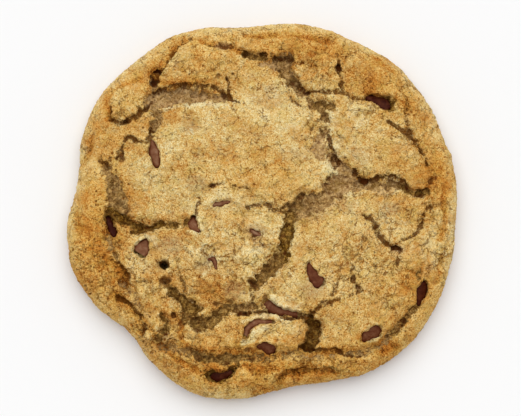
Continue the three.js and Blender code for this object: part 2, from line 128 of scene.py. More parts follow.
# Thin cracks: a curve through the points in mm, its width along the way, and its depth
CRACKS = {
    "below the shelf": (
        ((-27.7, 28.4), (-23.3, 29.9), (-15.3, 30.3), (-11.1, 29.2), (-8.9, 27.4), (-5.7, 26.2)),
        (0.5, 0.5, 0.4), 1,
    ),
    "left shoulder": (
        ((-27.5, 19.2), (-28.2, 17.2), (-30.7, 16.2), (-33.2, 17), (-34.2, 15), (-35.6, 12.2)),
        (0.7, 0.8), 1.3,
    ),
    "under the upper left lump": (
        ((-38.4, 24.7), (-37.6, 21.5), (-34.2, 21), (-31.7, 22.2), (-29.5, 24.2), (-27.7, 26.4)),
        (0.4, 0.6), 1,
    ),
    "shelf and left rim": (
        ((-27, 31.4), (-26.2, 33.7), (-25, 35.6), (-23.3, 38.4), (-19.8, 41.6), (-17.8, 42.9)),
        (1.2, 0.6, 0.4), 1.5,
    ),
    "left rim nick": (((-40.1, 12), (-38.9, 11), (-37.4, 12.2)), (0.5, 0.5), 0.6),
    "left rim": (((-37.1, -13.4), (-34.9, -15.1), (-33.7, -16.6), (-33.2, -18.6)), (0.6, 0.8), 1.4),
    "lower left rim": (((-35.9, -22.6), (-33.4, -23.6), (-31.7, -25.1), (-30.4, -27.1)), (0.7, 0.9), 1.5),
    "lower left rim, end": (
        ((-30.4, -27.1), (-29.9, -29.8), (-29.7, -32.8), (-28.5, -35)),
        (0.6, 0.5, 0.5), 0.9,
    ),
    "above the crescent": (
        ((-5.9, -26.6), (-2.5, -26.1), (2, -25.8), (6.4, -27.1), (10.9, -27.6)),
        (0.6, 0.7, 1), 1.6,
    ),
    "crescent spur": (((11.9, -26.8), (14.1, -25.1), (16.3, -24.1), (18.8, -23.1)), (0.7, 0.4), 1),
    "upper ledge": (
        ((8.7, 30.7), (9.4, 29.4), (11.4, 28.7), (15.6, 28.9), (20, 28.9), (23.5, 27.2), (27, 26.9)),
        (0.5, 0.35, 0.5), 0.7,
    ),
    "top rim": (
        ((-14.6, 42.1), (-13.6, 40.9), (-11.4, 40.6), (-8.9, 41.1), (-5.4, 39.9), (-3.7, 38.6)),
        (0.4, 0.5, 0.7), 0.9,
    ),
    "top rim, right": (
        ((0, 38.6), (3.2, 37.9), (6.4, 37.1), (9.4, 36.1), (11.6, 37.1)),
        (0.5, 0.5, 0.3), 0.7,
    ),
    "upper fork": (((18.8, 37.6), (18.8, 35.6), (19.6, 33.2), (20, 29.9)), (0.5, 0.5, 0.4), 1),
    "fork arm": (((22, 38.6), (20.5, 36.9), (19.6, 34.9)), (0.2, 0.2), 0.6),
    "left of the floor": (((13.9, 22.2), (12.8, 19.7), (11.6, 17.2)), (0.3, 0.3), 0.4),
    "right of the floor": (((15.9, 18.4), (16.8, 15.9), (17.6, 13.5), (18.8, 10.8)), (0.3, 0.6), 0.9),
    "under the big right plate": (
        ((22.3, 9.5), (23.8, 7.3), (25.7, 6.5), (29.2, 7), (32.9, 7.3), (35.6, 6.3)),
        (0.4, 0.7, 0.6), 1.4,
    ),
    "floor line": (((18.6, 10.8), (16.8, 7.5), (15.3, 3.8)), (0.4, 0.2), 0.6),
    "small right plate, left": (
        ((25.5, -1.9), (27.4, -3.7), (28.2, -6.2), (29.8, -8.2), (31.4, -9.2), (33.2, -10.2)),
        (0.4, 0.8, 1.3, 1, 0.7), 1.6,
    ),
    "small right plate, foot": (((33.4, -10.2), (34.2, -11.4), (33.4, -14.1)), (1, 0.5), 0.8),
    "small right plate, right": (
        ((42.1, 0.3), (40.3, -1.9), (39.6, -4.7), (37.4, -7.4), (34.9, -8.7)),
        (0.6, 0.2), 0.9,
    ),
    "right edge": (
        ((31.2, 21.5), (34.2, 19.7), (36.2, 18.4), (38.1, 16.2), (39.6, 13.5), (40.8, 10.3)),
        (0.2, 0.6, 1, 0.6, 0.4, 0.3), 1.3,
    ),
    "right edge fork": (((36.1, 24.7), (35.9, 22), (35.9, 19)), (0.2, 0.3), 0.6),
    "right rim": (
        ((39.4, -23.8), (36.9, -25.6), (34.9, -28.3), (32.7, -30.8), (30.7, -32.8)),
        (0.4, 0.3), 0.4,
    ),
    "bottom rim": (((9.4, -35), (13.9, -35.5), (18.6, -35.8), (21, -37), (24.8, -36.5)), (0.7, 0.4), 1),
    "bottom layer": (
        ((4, -43.5), (5.9, -41.8), (8.4, -41.3), (11.4, -40.8), (15.6, -40.3), (19.8, -41)),
        (0.5, 0.6, 0.2), 0.8,
    ),
    "shelf end": (((-8.7, 31.9), (-8.2, 29.9), (-8.9, 27.4)), (0.4, 0.5), 0.8),
    "plate, long": (
        ((22.5, -14.4), (23, -16.4), (22.3, -18.1), (22.8, -19.4), (24, -20.6), (21.8, -22.1)),
        (0.3, 0.5, 0.3), 0.6,
    ),
    "plate, short": (((18.3, -18.6), (17.8, -20.4), (17.3, -22.1)), (0.2, 0.4), 0.6),
    "plate, right": (((28, -15.1), (27.5, -17.1)), (0.2, 0.2), 0.5),
    "smudge": (((-1.7, -7.2), (-0.5, -8.4), (1, -9.9)), (0.6, 0.2), 0.6),
    "ridge nick": (((-29.9, -18.4), (-28.5, -18.1), (-27.2, -18.4)), (0.2, 0.2), 0.4),
    "lower centre, top": (((-18.8, -10.9), (-17.8, -12.1)), (0.3, 0.3), 0.5),
    "lower centre, middle": (((-14.8, -10.7), (-13.9, -12.1)), (0.3, 0.3), 0.5),
    "lower centre, left": (((-20.8, -15.9), (-20, -18.9), (-19.3, -21.1)), (0.2, 0.5), 0.6),
    "beside the left chip": (((-15.6, 2), (-16.3, 0), (-16.8, -2.7)), (0.2, 0.5), 0.5),
    "centre, short": (((-7.2, 5.3), (-5.4, 5), (-3.7, 4.8)), (0.2, 0.3), 0.5),
    "centre, pitted": (((-13.1, 5), (-11.6, 5.3), (-9.9, 5.8)), (0.5, 0.2), 0.6),
    "centre plate, lower edge": (
        ((-3.5, -0.2), (-1, 0.3), (1.5, 0.5), (3.7, -1.2), (6.9, 0.5)),
        (0.4, 0.6, 0.5), 0.9,
    ),
    "beside the spot": (((5, 41.4), (4.7, 39.6)), (0.2, 0.2), 0.4),
    "left of the step": (((6.4, 29.8), (7, 27.8), (8.6, 26.2), (10.6, 25.2)), (0.3, 0.4), 0.6),
}

# Soft folds of the rim: a curve through the points in mm, its width along the way, and its depth
FOLDS = {
    "outer strip, upper left": (((-27.5, 33.5), (-25.5, 36), (-23, 39), (-19.5, 42.2)), (1.8, 1), 1.1),
    "left of the upper left lump": (
        ((-38.3, 22), (-38.8, 24.5), (-39, 27), (-37, 30), (-33.5, 31.5), (-30.5, 32.3)),
        (0.9, 0.8), 0.5,
    ),
    "outer strip, left": (((-43.2, 17.5), (-43.2, 14.5), (-44.4, 11)), (1, 1.3), 0.6),
    "top strip": (((-4, 43.8), (0, 43.4), (4, 43.7)), (0.4, 0.6, 0.4), 0.6),
    "left rim dent": (((-46.3, -1.5), (-45.7, -4.8), (-44, -5.8), (-43, -7.3)), (0.8, 1.6, 0.5), 0.6),
    "bottom fold": (((4, -43.4), (6, -41.5), (9, -41), (13, -41), (18, -41.6)), (0.9, 0.9, 0.5), 0.9),
    "bottom notch": (((-1.8, -46), (0.3, -45.3), (2.5, -45)), (0.5, 0.9, 0.5), 0.8),
    "lower right fold": (((30, -35.8), (31.3, -34.4), (33, -34.2)), (1.3, 1), 0.8),
    "right rim fold": (((44.3, -12.5), (44.5, -16), (43.7, -18.5)), (0.4, 0.7), 0.5),
    "rim, lower left": (((-36.5, -21.5), (-33.8, -24.3), (-31.2, -27), (-30.5, -31)), (1.4, 1.6, 1), 0.6),
    "rim, left": (((-37.5, -13.5), (-35.2, -15.8), (-34, -19)), (1.2, 1.2), 0.5),
    "beside the ridge": (
        ((-21.8, -26.8), (-19.8, -29.5), (-20, -32.5), (-18, -35.5), (-14, -38.5)),
        (0.4, 0.6), 0.5,
    ),
    "inside the lower left rim": (
        ((-30.2, -26.8), (-27.8, -31), (-24.5, -34.2), (-20.5, -37.8), (-16, -41)),
        (0.7, 1.1, 0.8), 0.5,
    ),
    "bottom rim hollow": (((-4, -39.5), (0, -40.5), (4, -39.8)), (1, 1.4, 0.8), 0.5),
    "rim, right": (((46, 6), (45.4, 2), (45.6, -3), (44.6, -8)), (0.5, 1.2, 0.5), 0.4),
    "rim, upper right": (((27.5, 38.5), (31, 36), (34.5, 33.5)), (0.5, 1, 0.5), 0.4),
    "rim, top": (((9, 43.5), (13.5, 42.5), (18, 42.3)), (0.5, 1, 0.5), 0.4),
    "shelf edge": (((-25, 31.3), (-20, 31.2), (-15, 31.4), (-11.5, 30.8)), (1, 1, 0.6), 0.2),
    "top rim, left": (((-15, 41.8), (-12, 41), (-8.5, 40.6), (-5.5, 39.4)), (1, 1.3), 0.5),
}

# Pale lips of thin crust: a curve in mm and its width along the way
LIPS = {
    "over the left corner chip": (((-31.6, -9.6), (-30.1, -8.1), (-28.6, -7.1)), (0.4, 0.5)),
    "beside the left corner chip": (((-28, -7.6), (-26.6, -8.2), (-26.3, -9.8)), (1.4, 1.6, 0.8)),
    "below the left gap chip": (((-18.9, -6.1), (-17.4, -6.3), (-15.9, -6.7)), (0.8, 1)),
    "right of the left gap chip": (((-16.4, -2.2), (-15.3, -4), (-14.6, -5.6)), (0.9, 1.2, 0.6)),
    "inside the crescent": (((-4.8, -33.9), (-2.5, -33), (-1.5, -31), (1, -30)), (1.2, 1.8, 1.2)),
    "top of the crescent": (((-4.5, -28.5), (-1, -27.3), (3, -27.2), (7, -28)), (1, 1.1)),
    "over the long chip": (((2.5, -22.6), (3.5, -24.3), (6, -25.2), (8.5, -25.4)), (1.4, 1.4)),
    "below the lower right chip": (((26.2, -33.3), (28, -32.9), (29.4, -31.9)), (0.6, 1, 0.6)),
    "foot of the shelf gap": (((-24.5, 24.3), (-20, 25.2), (-14, 25.7), (-8.5, 25.2)), (1, 1.2)),
}

# Pits: place, half width and half height, depth. The deep ones are large forms of the blank, and
# the black ones are the deepest, with no light at the bottom
DEEP_PIT = 1.1
BLACK_PIT = 5
PITS = [
    ((-26.3, 33.4), (0.6, 0.8), 1.3), ((-24.4, -14.5), (1.4, 1.45), 7), ((-23.8, -18.8), (1.1, 1.4), 4.5),
    ((-37.6, 21.5), (0.4, 0.5), 1), ((-34.2, 21.2), (0.5, 0.4), 1), ((-34.9, 12), (0.6, 0.5), 1.2),
    ((-2.2, -19), (1.1, 1), 2.4), ((-22, -27.3), (0.5, 0.8), 1.6), ((-20, -29.1), (0.7, 0.4), 1.3),
    ((-20, -32.3), (0.7, 0.5), 1.4), ((-16.3, -30.6), (0.5, 0.5), 1.6), ((-35.4, 25.9), (0.4, 0.4), 1),
    ((-17.3, 20.5), (0.3, 0.7), 1.2), ((-13.9, 19.2), (0.5, 0.4), 0.8), ((-12.6, 5.3), (0.5, 0.4), 1.4),
    ((-4.5, -21.4), (0.5, 0.5), 1.4), ((-8.7, 32.2), (0.6, 0.5), 1), ((-10.9, 32.7), (0.3, 0.7), 1.3),
    ((-7.2, 33.2), (0.4, 0.3), 1), ((-5.4, 32.7), (0.3, 0.7), 1.1), ((18.7, 34.9), (0.7, 0.6), 1.3),
    ((15.3, 32.7), (0.5, 0.4), 1), ((36.1, -17.6), (0.7, 0.5), 1.8), ((34.9, -28.3), (0.6, 0.6), 1.6),
    ((42.1, 6.5), (0.8, 1), 1.5), ((43.3, 7.8), (0.5, 0.5), 1.5), ((9.7, 2.5), (0.9, 0.7), 1.1),
    ((25.5, 6.3), (0.8, 0.5), 1.2), ((38.9, 3), (1.5, 0.6), 1.8), ((36.4, 4.8), (0.7, 0.8), 1.7),
    ((-36.9, -1.7), (0.7, 0.7), 1.7), ((-33.7, -1.4), (0.7, 0.7), 1.9), ((-35.1, 2), (0.5, 0.5), 1.3),
    ((-34.9, 5.5), (0.4, 0.4), 1.1), ((-43.8, 14.5), (0.7, 0.6), 0.9), ((-3.7, -35.5), (0.8, 0.7), 1.6),
    ((-3, -37.5), (0.6, 0.6), 1.4), ((-16.1, -37), (0.8, 0.6), 1.4), ((-12.4, -39), (0.5, 0.5), 1.1),
    ((-8.7, -38.5), (0.5, 0.4), 1.1), ((-2.5, -40.5), (0.4, 0.4), 1.2), ((-19.6, -39.8), (0.4, 0.3), 1.1),
    ((-12.6, -45), (0.7, 0.4), 1), ((-26, -32.8), (0.6, 0.7), 1.2), ((-23.8, -31.6), (0.6, 0.5), 1.1),
    ((-10.8, -24.1), (1.1, 0.6), 2), ((-7.9, -23.5), (1.2, 0.6), 2), ((-5, -26.3), (1, 0.5), 1.7),
    ((5.2, -7.2), (0.6, 0.6), 1.9), ((5.9, -11.2), (0.6, 1), 2), ((33.2, -10.4), (0.8, 0.7), 1.6),
    ((5, 37.4), (0.7, 0.5), 1.3), ((-1, 38.6), (0.7, 0.4), 1.3), ((11.4, 28.4), (0.8, 0.6), 1.4),
    ((27, 31.7), (0.3, 0.4), 0.8), ((20.5, 12.2), (0.3, 0.3), 0.8), ((21.3, 5), (0.5, 0.4), 1.5),
    ((19.6, 2.5), (0.4, 0.3), 0.8), ((-27.3, 31), (0.5, 0.5), 1.4), ((7.7, 31.2), (0.5, 0.6), 1.4),
    ((22.5, -18.1), (0.5, 0.5), 1.4), ((23.8, -20.4), (0.4, 0.4), 1.2),
    ((-28.7, -4.9), (0.7, 0.7), 1.9),
]

# Soft patches of the crust: place, half width and half height, amount
TOASTED = {
    "top of the centre plate": ((1, 24), (11, 8), -0.08),
    "middle of the centre plate": ((-2, 12), (10, 5), 0.08),
    "left of the centre plate": ((-17, 8), (5, 6), 0.08),
    "left end of the centre plate": ((-29, 7.5), (5, 5), -0.12),
    "right end of the centre plate": ((7.5, 17.5), (5, 5), -0.11),
    "foot of the centre plate": ((-10, 1.5), (8, 4), -0.08),
    "corner of the centre plate": ((-23, 23), (4, 4), 0.1),
    "left rim": ((-44, -12), (7, 15), 0.09),
    "left rim, high": ((-42, 12), (4, 5), -0.08),
    "inside the left rim": ((-36, -5), (5, 9), 0.15),
    "inside the left rim, low": ((-35.5, -20.5), (3, 6), 0.2),
    "lower left edge": ((-42, -24), (3, 4), -0.1),
    "upper left lump": ((-36, 24), (4, 4), -0.1),
    "shelf": ((-21, 35.5), (5, 5), -0.14),
    "upper left edge": ((-24, 42), (4, 2.5), 0.17),
    "top rim": ((12, 42), (18, 6), 0.09),
    "beside the top pit": ((3, 36), (7, 3.5), 0.12),
    "above the upper right chip": ((24, 31.5), (5, 4.5), 0.19),
    "upper right rim": ((35, 33), (12, 8), 0.06),
    "right rim": ((47, 11), (5, 9), 0.13),
    "corner of the right plate": ((24.5, 23), (4, 4), -0.25),
    "right of the right plate": ((36, 15), (4, 6), -0.09),
    "neck of the middle gap": ((18, 10), (3, 6), -0.18),
    "right arm": ((31, 5.5), (6, 3), -0.3),
    "small right plate": ((36, -6), (4, 4), -0.1),
    "right rim, low": ((41, -11), (5, 7), -0.2),
    "top of the lower plate": ((14, -4), (7, 4.5), 0.12),
    "below the small right plate": ((25, -12), (4, 4), 0.09),
    "beside the right rim chip": ((36, -18), (3, 4), 0.12),
    "below the right plate chip": ((15, -24.5), (6, 3), 0.14),
    "beside the diagonal gap": ((0, -12), (3, 3.5), -0.15),
    "middle of the lower left plate": ((-11, -12), (7, 3.5), -0.1),
    "foot of the lower left plate": ((-11, -21.5), (6, 5), 0.22),
    "left of the lower left plate": ((-24, -12), (4.5, 10), 0.1),
    "below the left gap": ((-20, -6.5), (6, 3), 0.14),
    "ridge": ((-30, -15), (4, 6), -0.08),
    "beside the ridge": ((-23, -26), (3.5, 5), 0.1),
    "foot of the ridge": ((-29, -32), (4, 7), -0.19),
    "bottom left rim": ((-15, -40), (14, 7), 0.09),
    "round the lower rim chip": ((-12, -42), (4, 3), 0.26),
    "bottom edge": ((-6, -47), (7, 3), -0.16),
    "crescent": ((5, -30.5), (6, 3.5), -0.24),
    "left of the crescent": ((-6.5, -29.5), (3.5, 3), 0.15),
    "above the crescent": ((5.5, -24), (5, 3), -0.12),
    "below the crescent": ((6, -35.5), (8, 3), -0.16),
    "bottom valley": ((19, -36), (5, 2.5), 0.17),
    "bottom rim": ((14, -41), (18, 4), 0.08),
    "lower right valley": ((31, -34.5), (4, 3), 0.14),
    "lower right edge": ((37, -37), (4, 4), -0.18),
}
BROWNED = [
    ((-43, -18), (10, 16), 0.35), ((-33, -34), (12, 10), 0.15), ((5, -39), (28, 9), 0.4),
    ((34, -34), (9, 8), 0.3), ((-38, 0), (9, 14), 0.35), ((35, 31), (14, 10), 0.3),
    ((12, 41), (16, 7), 0.2), ((-2, 8), (13, 8), 0.5), ((-6, -27), (16, 12), 0.4),
    ((-12, 37), (14, 7), 0.15), ((32, 8), (10, 8), 0.3), ((40, -22), (6, 8), 0.4),
    ((46, 8), (6, 9), 0.5), ((10, 6), (8, 5), 0.4),
]
SMEARED = [
    ((-16.1, 5.8), (3.2, 2.4), 0.5), ((-9.9, 40.4), (2.4, 1.3), 0.8), ((-1.5, -6.2), (3, 2.4), 0.6),
    ((12.5, -20.4), (4, 3), 0.5), ((0.7, 27.7), (5, 4), 0.25), ((24.3, 12.8), (3.5, 2.5), 0.35),
    ((-17.8, 20.2), (3, 2.5), 0.35), ((-14.1, -14.6), (3, 3), 0.4), ((-6.7, -20.9), (3.2, 3), 0.45),
    ((-22.8, -9.7), (4, 3), 0.5), ((13, -1.5), (4, 3), 0.4), ((20.5, 0.3), (4, 2), 0.35),
    ((31.7, -0.4), (3, 2), 0.5), ((33.7, -10.7), (2.5, 1.6), 0.5), ((8.5, 12.7), (5, 2), 0.3),
]
ROUGH = [
    ((27, -15), (14, 11), 1.0), ((-9, -13), (15, 11), 0.7), ((38, 25), (7, 16), 0.7),
    ((-9, 12), (20, 7), 0.3), ((20, -41), (20, 4), 0.8), ((43, -5), (5, 14), 0.8),
    ((15, 34), (12, 6), 0.6), ((-34, -15), (12, 14), 0.6), ((-20, -34), (16, 8), 0.7),
    ((33, -1), (7, 6), 0.6), ((2, -31), (12, 4), 0.5), ((-17, 36), (10, 6), 0.4),
]
POROUS = [
    ((-37.5, 3), (6, 12), 1.0), ((-38, -10), (6, 8), 0.8), ((-43, -17), (8, 12), 0.7),
    ((-31, -32), (12, 8), 0.7), ((0, -39), (22, 5), 0.8), ((30, -37), (14, 7), 0.8),
    ((-17, 33), (8, 6), 0.3), ((15, 35), (12, 6), 0.3),
]

# Chips: how each lies, as its solid does (size, lean and point in degrees), then the bare patch
# of it (a curve in mm and its width along the way), how far that lies under the crust, and how
# pale it is: pale where fat-bloomed, and low for chips deep in their holes as painted shade
CHIP_RADIUS = 4.5
CHIP_HEIGHT = 7.0
CHIP_WIDEST = 0.2      # share of the height at which a chip is widest
CHIP_ABOVE = [(0.9, 0.38), (0.66, 0.6), (0.34, 0.82), (0.12, 0.95)]   # shares of radius and height
CHIP_BELOW = [(0.97, 0.08), (0.8, 0.0)]
CHIPS = {
    "chip_left_sliver": (
        1, 90, 197, ((-27.4, 16.4), (-26.8, 13.6), (-26.2, 10.8)),
        (0.8, 2.3, 1.6), 0.5, 0.64,
    ),
    "chip_left_corner": (
        0.95, 75, 60, ((-28.5, -7.9), (-29.2, -9.4), (-29.8, -10.7)),
        (0.1, 2.1, 3.6), 0.6, 0.62,
    ),
    "chip_left_pit": (
        0.7, 85, 20, ((-38.4, -2.6), (-37.8, -4.3), (-37.1, -5.6), (-36.7, -7)),
        (1.3, 1.4, 1.9, 0.9), 1.9, 0,
    ),
    "chip_left_gap": (
        0.9, 80, 125, ((-17.1, -3), (-17.1, -4.6), (-15.6, -6.1)),
        (0.8, 2.4, 0.7), 0.9, 0.6,
    ),
    "chip_centre_sliver": (
        0.9, 90, 95, ((-11.9, 0.5), (-10.1, 0.8), (-7.9, 1.3)),
        (0.9, 0.9, 0.6), 0.4, 0.8,
    ),
    "chip_smudge": (
        0.8, 90, 200, ((-2.6, -5.9), (-1.6, -6.5), (-0.6, -7)),
        (0.5, 1, 0.5), 0.3, 0.95,
    ),
    "chip_curl": (
        0.75, 90, 20, ((-13.2, -13.2), (-12.3, -12.8), (-11.7, -13.6), (-11.4, -15.4)),
        (0.3, 0.5, 0.6, 0.3), 0.15, 0.72,
    ),
    "chip_right_plate": (
        1, 90, 35, ((11.7, -14.1), (12.2, -16.3), (13.9, -18.7)),
        (0.5, 2.1, 3), 0.6, 0.34,
    ),
    "chip_upper_right": (
        0.95, 70, 215, ((26.2, 27.7), (28.6, 27), (30.7, 26)),
        (0.7, 2, 3), 1.4, 0.1,
    ),
    "chip_lower_right": (
        0.95, 80, 300, ((24.6, -33.3), (26.2, -32), (27.9, -30.9)),
        (0.3, 2.6, 2.9), 0.8, 0.42,
    ),
    "chip_right_rim": (
        0.85, 80, 150, ((40.1, -19.4), (39.6, -21.1), (38.9, -23.6)),
        (1.7, 2.5, 1.2), 1.2, 0.12,
    ),
    "chip_long": (
        1.08, 90, 65, ((0.9, -22.6), (1.7, -24.3), (3.8, -25.6), (6.5, -26.2), (10, -26.9)),
        (0.9, 2.2, 1.8, 1.3, 0.8), 1.3, 0.5,
    ),
    "chip_crescent": (
        1.05, 90, 290, ((-4.2, -32.6), (-3.5, -30.1), (-1.2, -28.6), (2.7, -28.6)),
        (1, 1.2, 1.2, 0.7), 0.4, 0.68,
    ),
    "chip_under_crescent": (
        0.75, 90, 80, ((-1.6, -34.6), (0.3, -34.6), (1.8, -35.2), (3.2, -34.8)),
        (0.4, 1.9, 2.6, 0.6), 0.8, 0.4,
    ),
    "chip_lower_rim": (
        0.75, 85, 80, ((-12.6, -41.7), (-10.8, -42), (-8.6, -41.3), (-7, -40.7)),
        (1, 2.2, 1.3, 0.5), 1, 0.08,
    ),
}

# ---- Mesh and noise settings ----
BLANK_SIDES = 160
CHIP_SIDES = 20
FAR = 99.0             # mm, farther than any spot lies from a curve
WELL_ABOVE = 30        # mm, a height clear above the crust
COARSE_STEP = 0.38     # mm between points while the large forms are carved
FINE_STEP = 0.3        # mm between points while the crumb is carved
MOST_TRIANGLES = 190_000
NOISE_SEED = 1         # the vector noise would start anew each run without it
noise.seed_set(NOISE_SEED)


def smoothstep(value, low, high):
    share = np.clip((value - low) / (high - low), 0, 1)
    return share * share * (3 - 2 * share)


def bumps(places, size, octaves=3, shift=0.0):
    """Noise from about -1 to 1, with lumps about size mm apart."""
    scaled_places = (places / size + shift).tolist()
    return np.array([noise.fractal(place, 1.0, 2.0, octaves) for place in scaled_places])


def drift(places, size, shift=0.0):
    """A noise vector for each place, from about -1 to 1 each way."""
    scaled_places = (places / size + shift).tolist()
    return np.array([noise.noise_vector(place) for place in scaled_places])


def lumps(places, size, shift=0.0):
    """Rounded lumps about size mm across with sharp creases between them, where this is 0."""
    scaled_places = (places / size + shift).tolist()
    return np.array([abs(noise.noise(place)) for place in scaled_places])


def outline_at(angle):
    """How far the outline stands out from the mean circle, in mm, at each angle."""
    out = np.zeros(len(angle))
    for count, size, crest in OUTLINE_WAVES:
        out += size * np.cos(count * (angle - math.radians(crest)))
    for place, half_width, size in OUTLINE_CORNERS:
        turn = np.degrees(angle) - place
        away = (turn + 180) % 360 - 180
        out += size * np.exp(-(away / half_width) ** 2)
    return out


def patches(spots, places):
    """The sum of the soft patches at each spot."""
    amount = np.zeros(len(spots))
    for middle, half, strength in places:
        away = np.hypot(*((spots - middle) / half).T)
        amount += strength * (1 - smoothstep(away, 0.45, 1.15))
    return amount


def curve_points(path, steps=6):
    """Points along the smooth curve that runs through every point of the path."""
    points = np.array(path, float)
    padded = np.vstack([2 * points[0] - points[1], points, 2 * points[-1] - points[-2]])
    share = np.linspace(0, 1, steps, endpoint=False)[:, None]
    curve = []
    for a, b, c, d in zip(padded, padded[1:], padded[2:], padded[3:]):
        bend = (2 * a - 5 * b + 4 * c - d) * share ** 2 + (3 * b - a - 3 * c + d) * share ** 3
        curve.append((2 * b + (c - a) * share + bend) / 2)
    return np.vstack(curve + [points[-1:]])


def near_curve(spots, path, width, margin=3.0):
    """The spots near a band along a curve: which they are, how far outside the band each lies in
    mm (negative is inside it), and whether it lies on the +Y side of the curve (1) or not (-1)."""
    points = curve_points(path)
    share = np.linspace(0, 1, len(points))
    halves = np.interp(share, np.linspace(0, 1, len(width)), width) / 2
    reach = max(width) / 2 + margin
    inside = np.all((spots > points.min(0) - reach) & (spots < points.max(0) + reach), axis=1)
    near = inside.nonzero()[0]
    close = spots[near]
    outside = np.full(len(near), FAR)
    above = np.zeros(len(near))
    for i in range(len(points) - 1):
        step = points[i + 1] - points[i]
        along = np.clip(((close - points[i]) @ step) / (step @ step), 0, 1)
        offset = close - points[i] - along[:, None] * step
        away = np.hypot(*offset.T)
        beyond = away - halves[i] - along * (halves[i + 1] - halves[i])
        closer = beyond < outside
        outside[closer] = beyond[closer]
        above[closer] = (offset[:, 1] / np.maximum(away, 0.01))[closer]
    return near, outside, above


def plate_lift(spots):
    """How far the highest plate lifts the top at each spot."""
    lift = np.zeros(len(spots))
    for middle, half, turn, height in PLATES.values():
        angle = math.radians(turn)
        offset = spots - middle
        along = (offset[:, 0] * math.cos(angle) + offset[:, 1] * math.sin(angle)) / half[0]
        across = (offset[:, 1] * math.cos(angle) - offset[:, 0] * math.sin(angle)) / half[1]
        lift = np.maximum(lift, height * (1 - smoothstep(np.hypot(along, across), 0.55, 1.25)))
    return lift


def gap_fields(spots, ragged):
    """What the gaps do at each spot: the depth, the softer share of the floor's colour, how far
    outside the nearest gap it lies, whether that gap lies on its -Y side, and how pale the floor
    is. ragged moves the torn edges, in mm."""
    depth = np.zeros(len(spots))
    outside = np.full(len(spots), FAR)
    brow = np.zeros(len(spots))
    paleness = np.zeros(len(spots))
    weight = np.full(len(spots), 1e-6)
    share = np.zeros(len(spots))
    for path, width, deep, wall, pale in GAPS.values():
        near, away, above = near_curve(spots, path, width)
        away = away + ragged[near] * min(1.0, 0.35 + max(width) / 4)
        inner = min(wall, 0.45 * min(width))
        dug = deep * (1 - smoothstep(away, -inner, 0.15 + 0.3 * wall))
        depth[near] = np.maximum(depth[near], dug)
        paleness[near] += dug ** 2 * pale
        weight[near] += dug ** 2
        soft = min(1.0, 0.9 * deep) * (1 - smoothstep(away, -0.8, 0.7))
        share[near] = np.maximum(share[near], soft)
        closer = away < outside[near]
        outside[near[closer]] = away[closer]
        brow[near[closer]] = above[closer]
    paleness /= weight
    return {"depth": depth, "share": share, "outside": outside, "brow": brow, "paleness": paleness}


def level_of(points):
    return points * (1, 1, 0)


def at_no_height(spots):
    return np.column_stack([spots, np.zeros(len(spots))])


def torn(level):
    """Each place moved and shifted a little, so that edges drawn with it are torn at every size."""
    wander = 0.7 * drift(level, 4.5, 11.0)[:, :2] + 0.3 * drift(level, 1.4, 12.0)[:, :2]
    ragged = 0.6 * bumps(level, 2.6, 3, 5.0) + 0.45 * bumps(level, 1.1, 2, 6.0)
    ragged += 1.5 * (lumps(level, 2.4, 8.0) - 0.2)
    return level[:, :2] + wander, ragged


def crack_fields(spots, ragged):
    """Depth of the thin cracks at each spot, and how surely it lies in one."""
    spots = spots + 0.3 * drift(at_no_height(spots), 1.0, 13.0)[:, :2]
    depth = np.zeros(len(spots))
    share = np.zeros(len(spots))
    level = at_no_height(spots)
    fray = 0.45 * bumps(level, 0.8, 2, 14.0)
    whole = 0.5 + 0.5 * smoothstep(bumps(level, 1.6, 2, 24.0), -0.4, 0.0)
    for path, width, deep in CRACKS.values():
        near, away, _ = near_curve(spots, path, width, 1.5)
        away = away + 0.35 * ragged[near] + fray[near] - 0.1
        inside = (1 - smoothstep(away, -0.4 * max(width), 0.25)) * whole[near]
        depth[near] = np.maximum(depth[near], deep * inside)
        bold = min(1.0, 0.25 + 0.6 * deep)
        soft = bold * (1 - smoothstep(away, -0.35, 0.6)) * whole[near]
        share[near] = np.maximum(share[near], soft)
    return depth, share


def band_field(spots, ragged, bands, softness):
    """How surely each spot lies in one of the soft bands, and how deep the band is there."""
    share = np.zeros(len(spots))
    depth = np.zeros(len(spots))
    for path, width, *deep in bands.values():
        near, away, _ = near_curve(spots, path, width, 2.5)
        inside = 1 - smoothstep(away + 0.3 * ragged[near], -0.3, softness)
        share[near] = np.maximum(share[near], inside)
        if deep:
            depth[near] = np.maximum(depth[near], inside * deep[0])
    return share, depth


def pit_fields(spots, ragged, shallowest, deepest):
    """Depth of the pits between two depths at each spot, and how surely it lies in one."""
    spots = spots + 0.3 * drift(at_no_height(spots), 1.2, 18.0)[:, :2]
    depth = np.zeros(len(spots))
    share = np.zeros(len(spots))
    for middle, half, deep in PITS:
        if not shallowest <= deep < deepest:
            continue
        torn_edge = 0.8 if deep < BLACK_PIT else 0.14
        away = np.hypot(*((spots - middle) / half).T) + torn_edge * ragged
        inside = 1 - smoothstep(away, 0.45, 1.15)
        depth = np.maximum(depth, deep * inside)
        share = np.maximum(share, inside)
    return depth, share


# ---- Small modelling helpers ----
def select_only(piece):
    bpy.ops.object.select_all(action="DESELECT")
    piece.select_set(True)
    bpy.context.view_layer.objects.active = piece


def apply_modifier(piece, kind, **settings):
    select_only(piece)
    bpy.ops.object.modifier_add(type=kind)
    modifier = piece.modifiers[-1]
    for name, value in settings.items():
        setattr(modifier, name, value)
    bpy.ops.object.modifier_apply(modifier=modifier.name)


def read_points(piece):
    points = np.empty(len(piece.data.vertices) * 3)
    piece.data.vertices.foreach_get("co", points)
    return points.reshape(-1, 3) / MM


def write_points(piece, points):
    piece.data.vertices.foreach_set("co", (points * MM).ravel())
    piece.data.update()


def read_normals(piece):
    normals = np.empty(len(piece.data.vertices) * 3)
    piece.data.vertices.foreach_get("normal", normals)
    return normals.reshape(-1, 3)


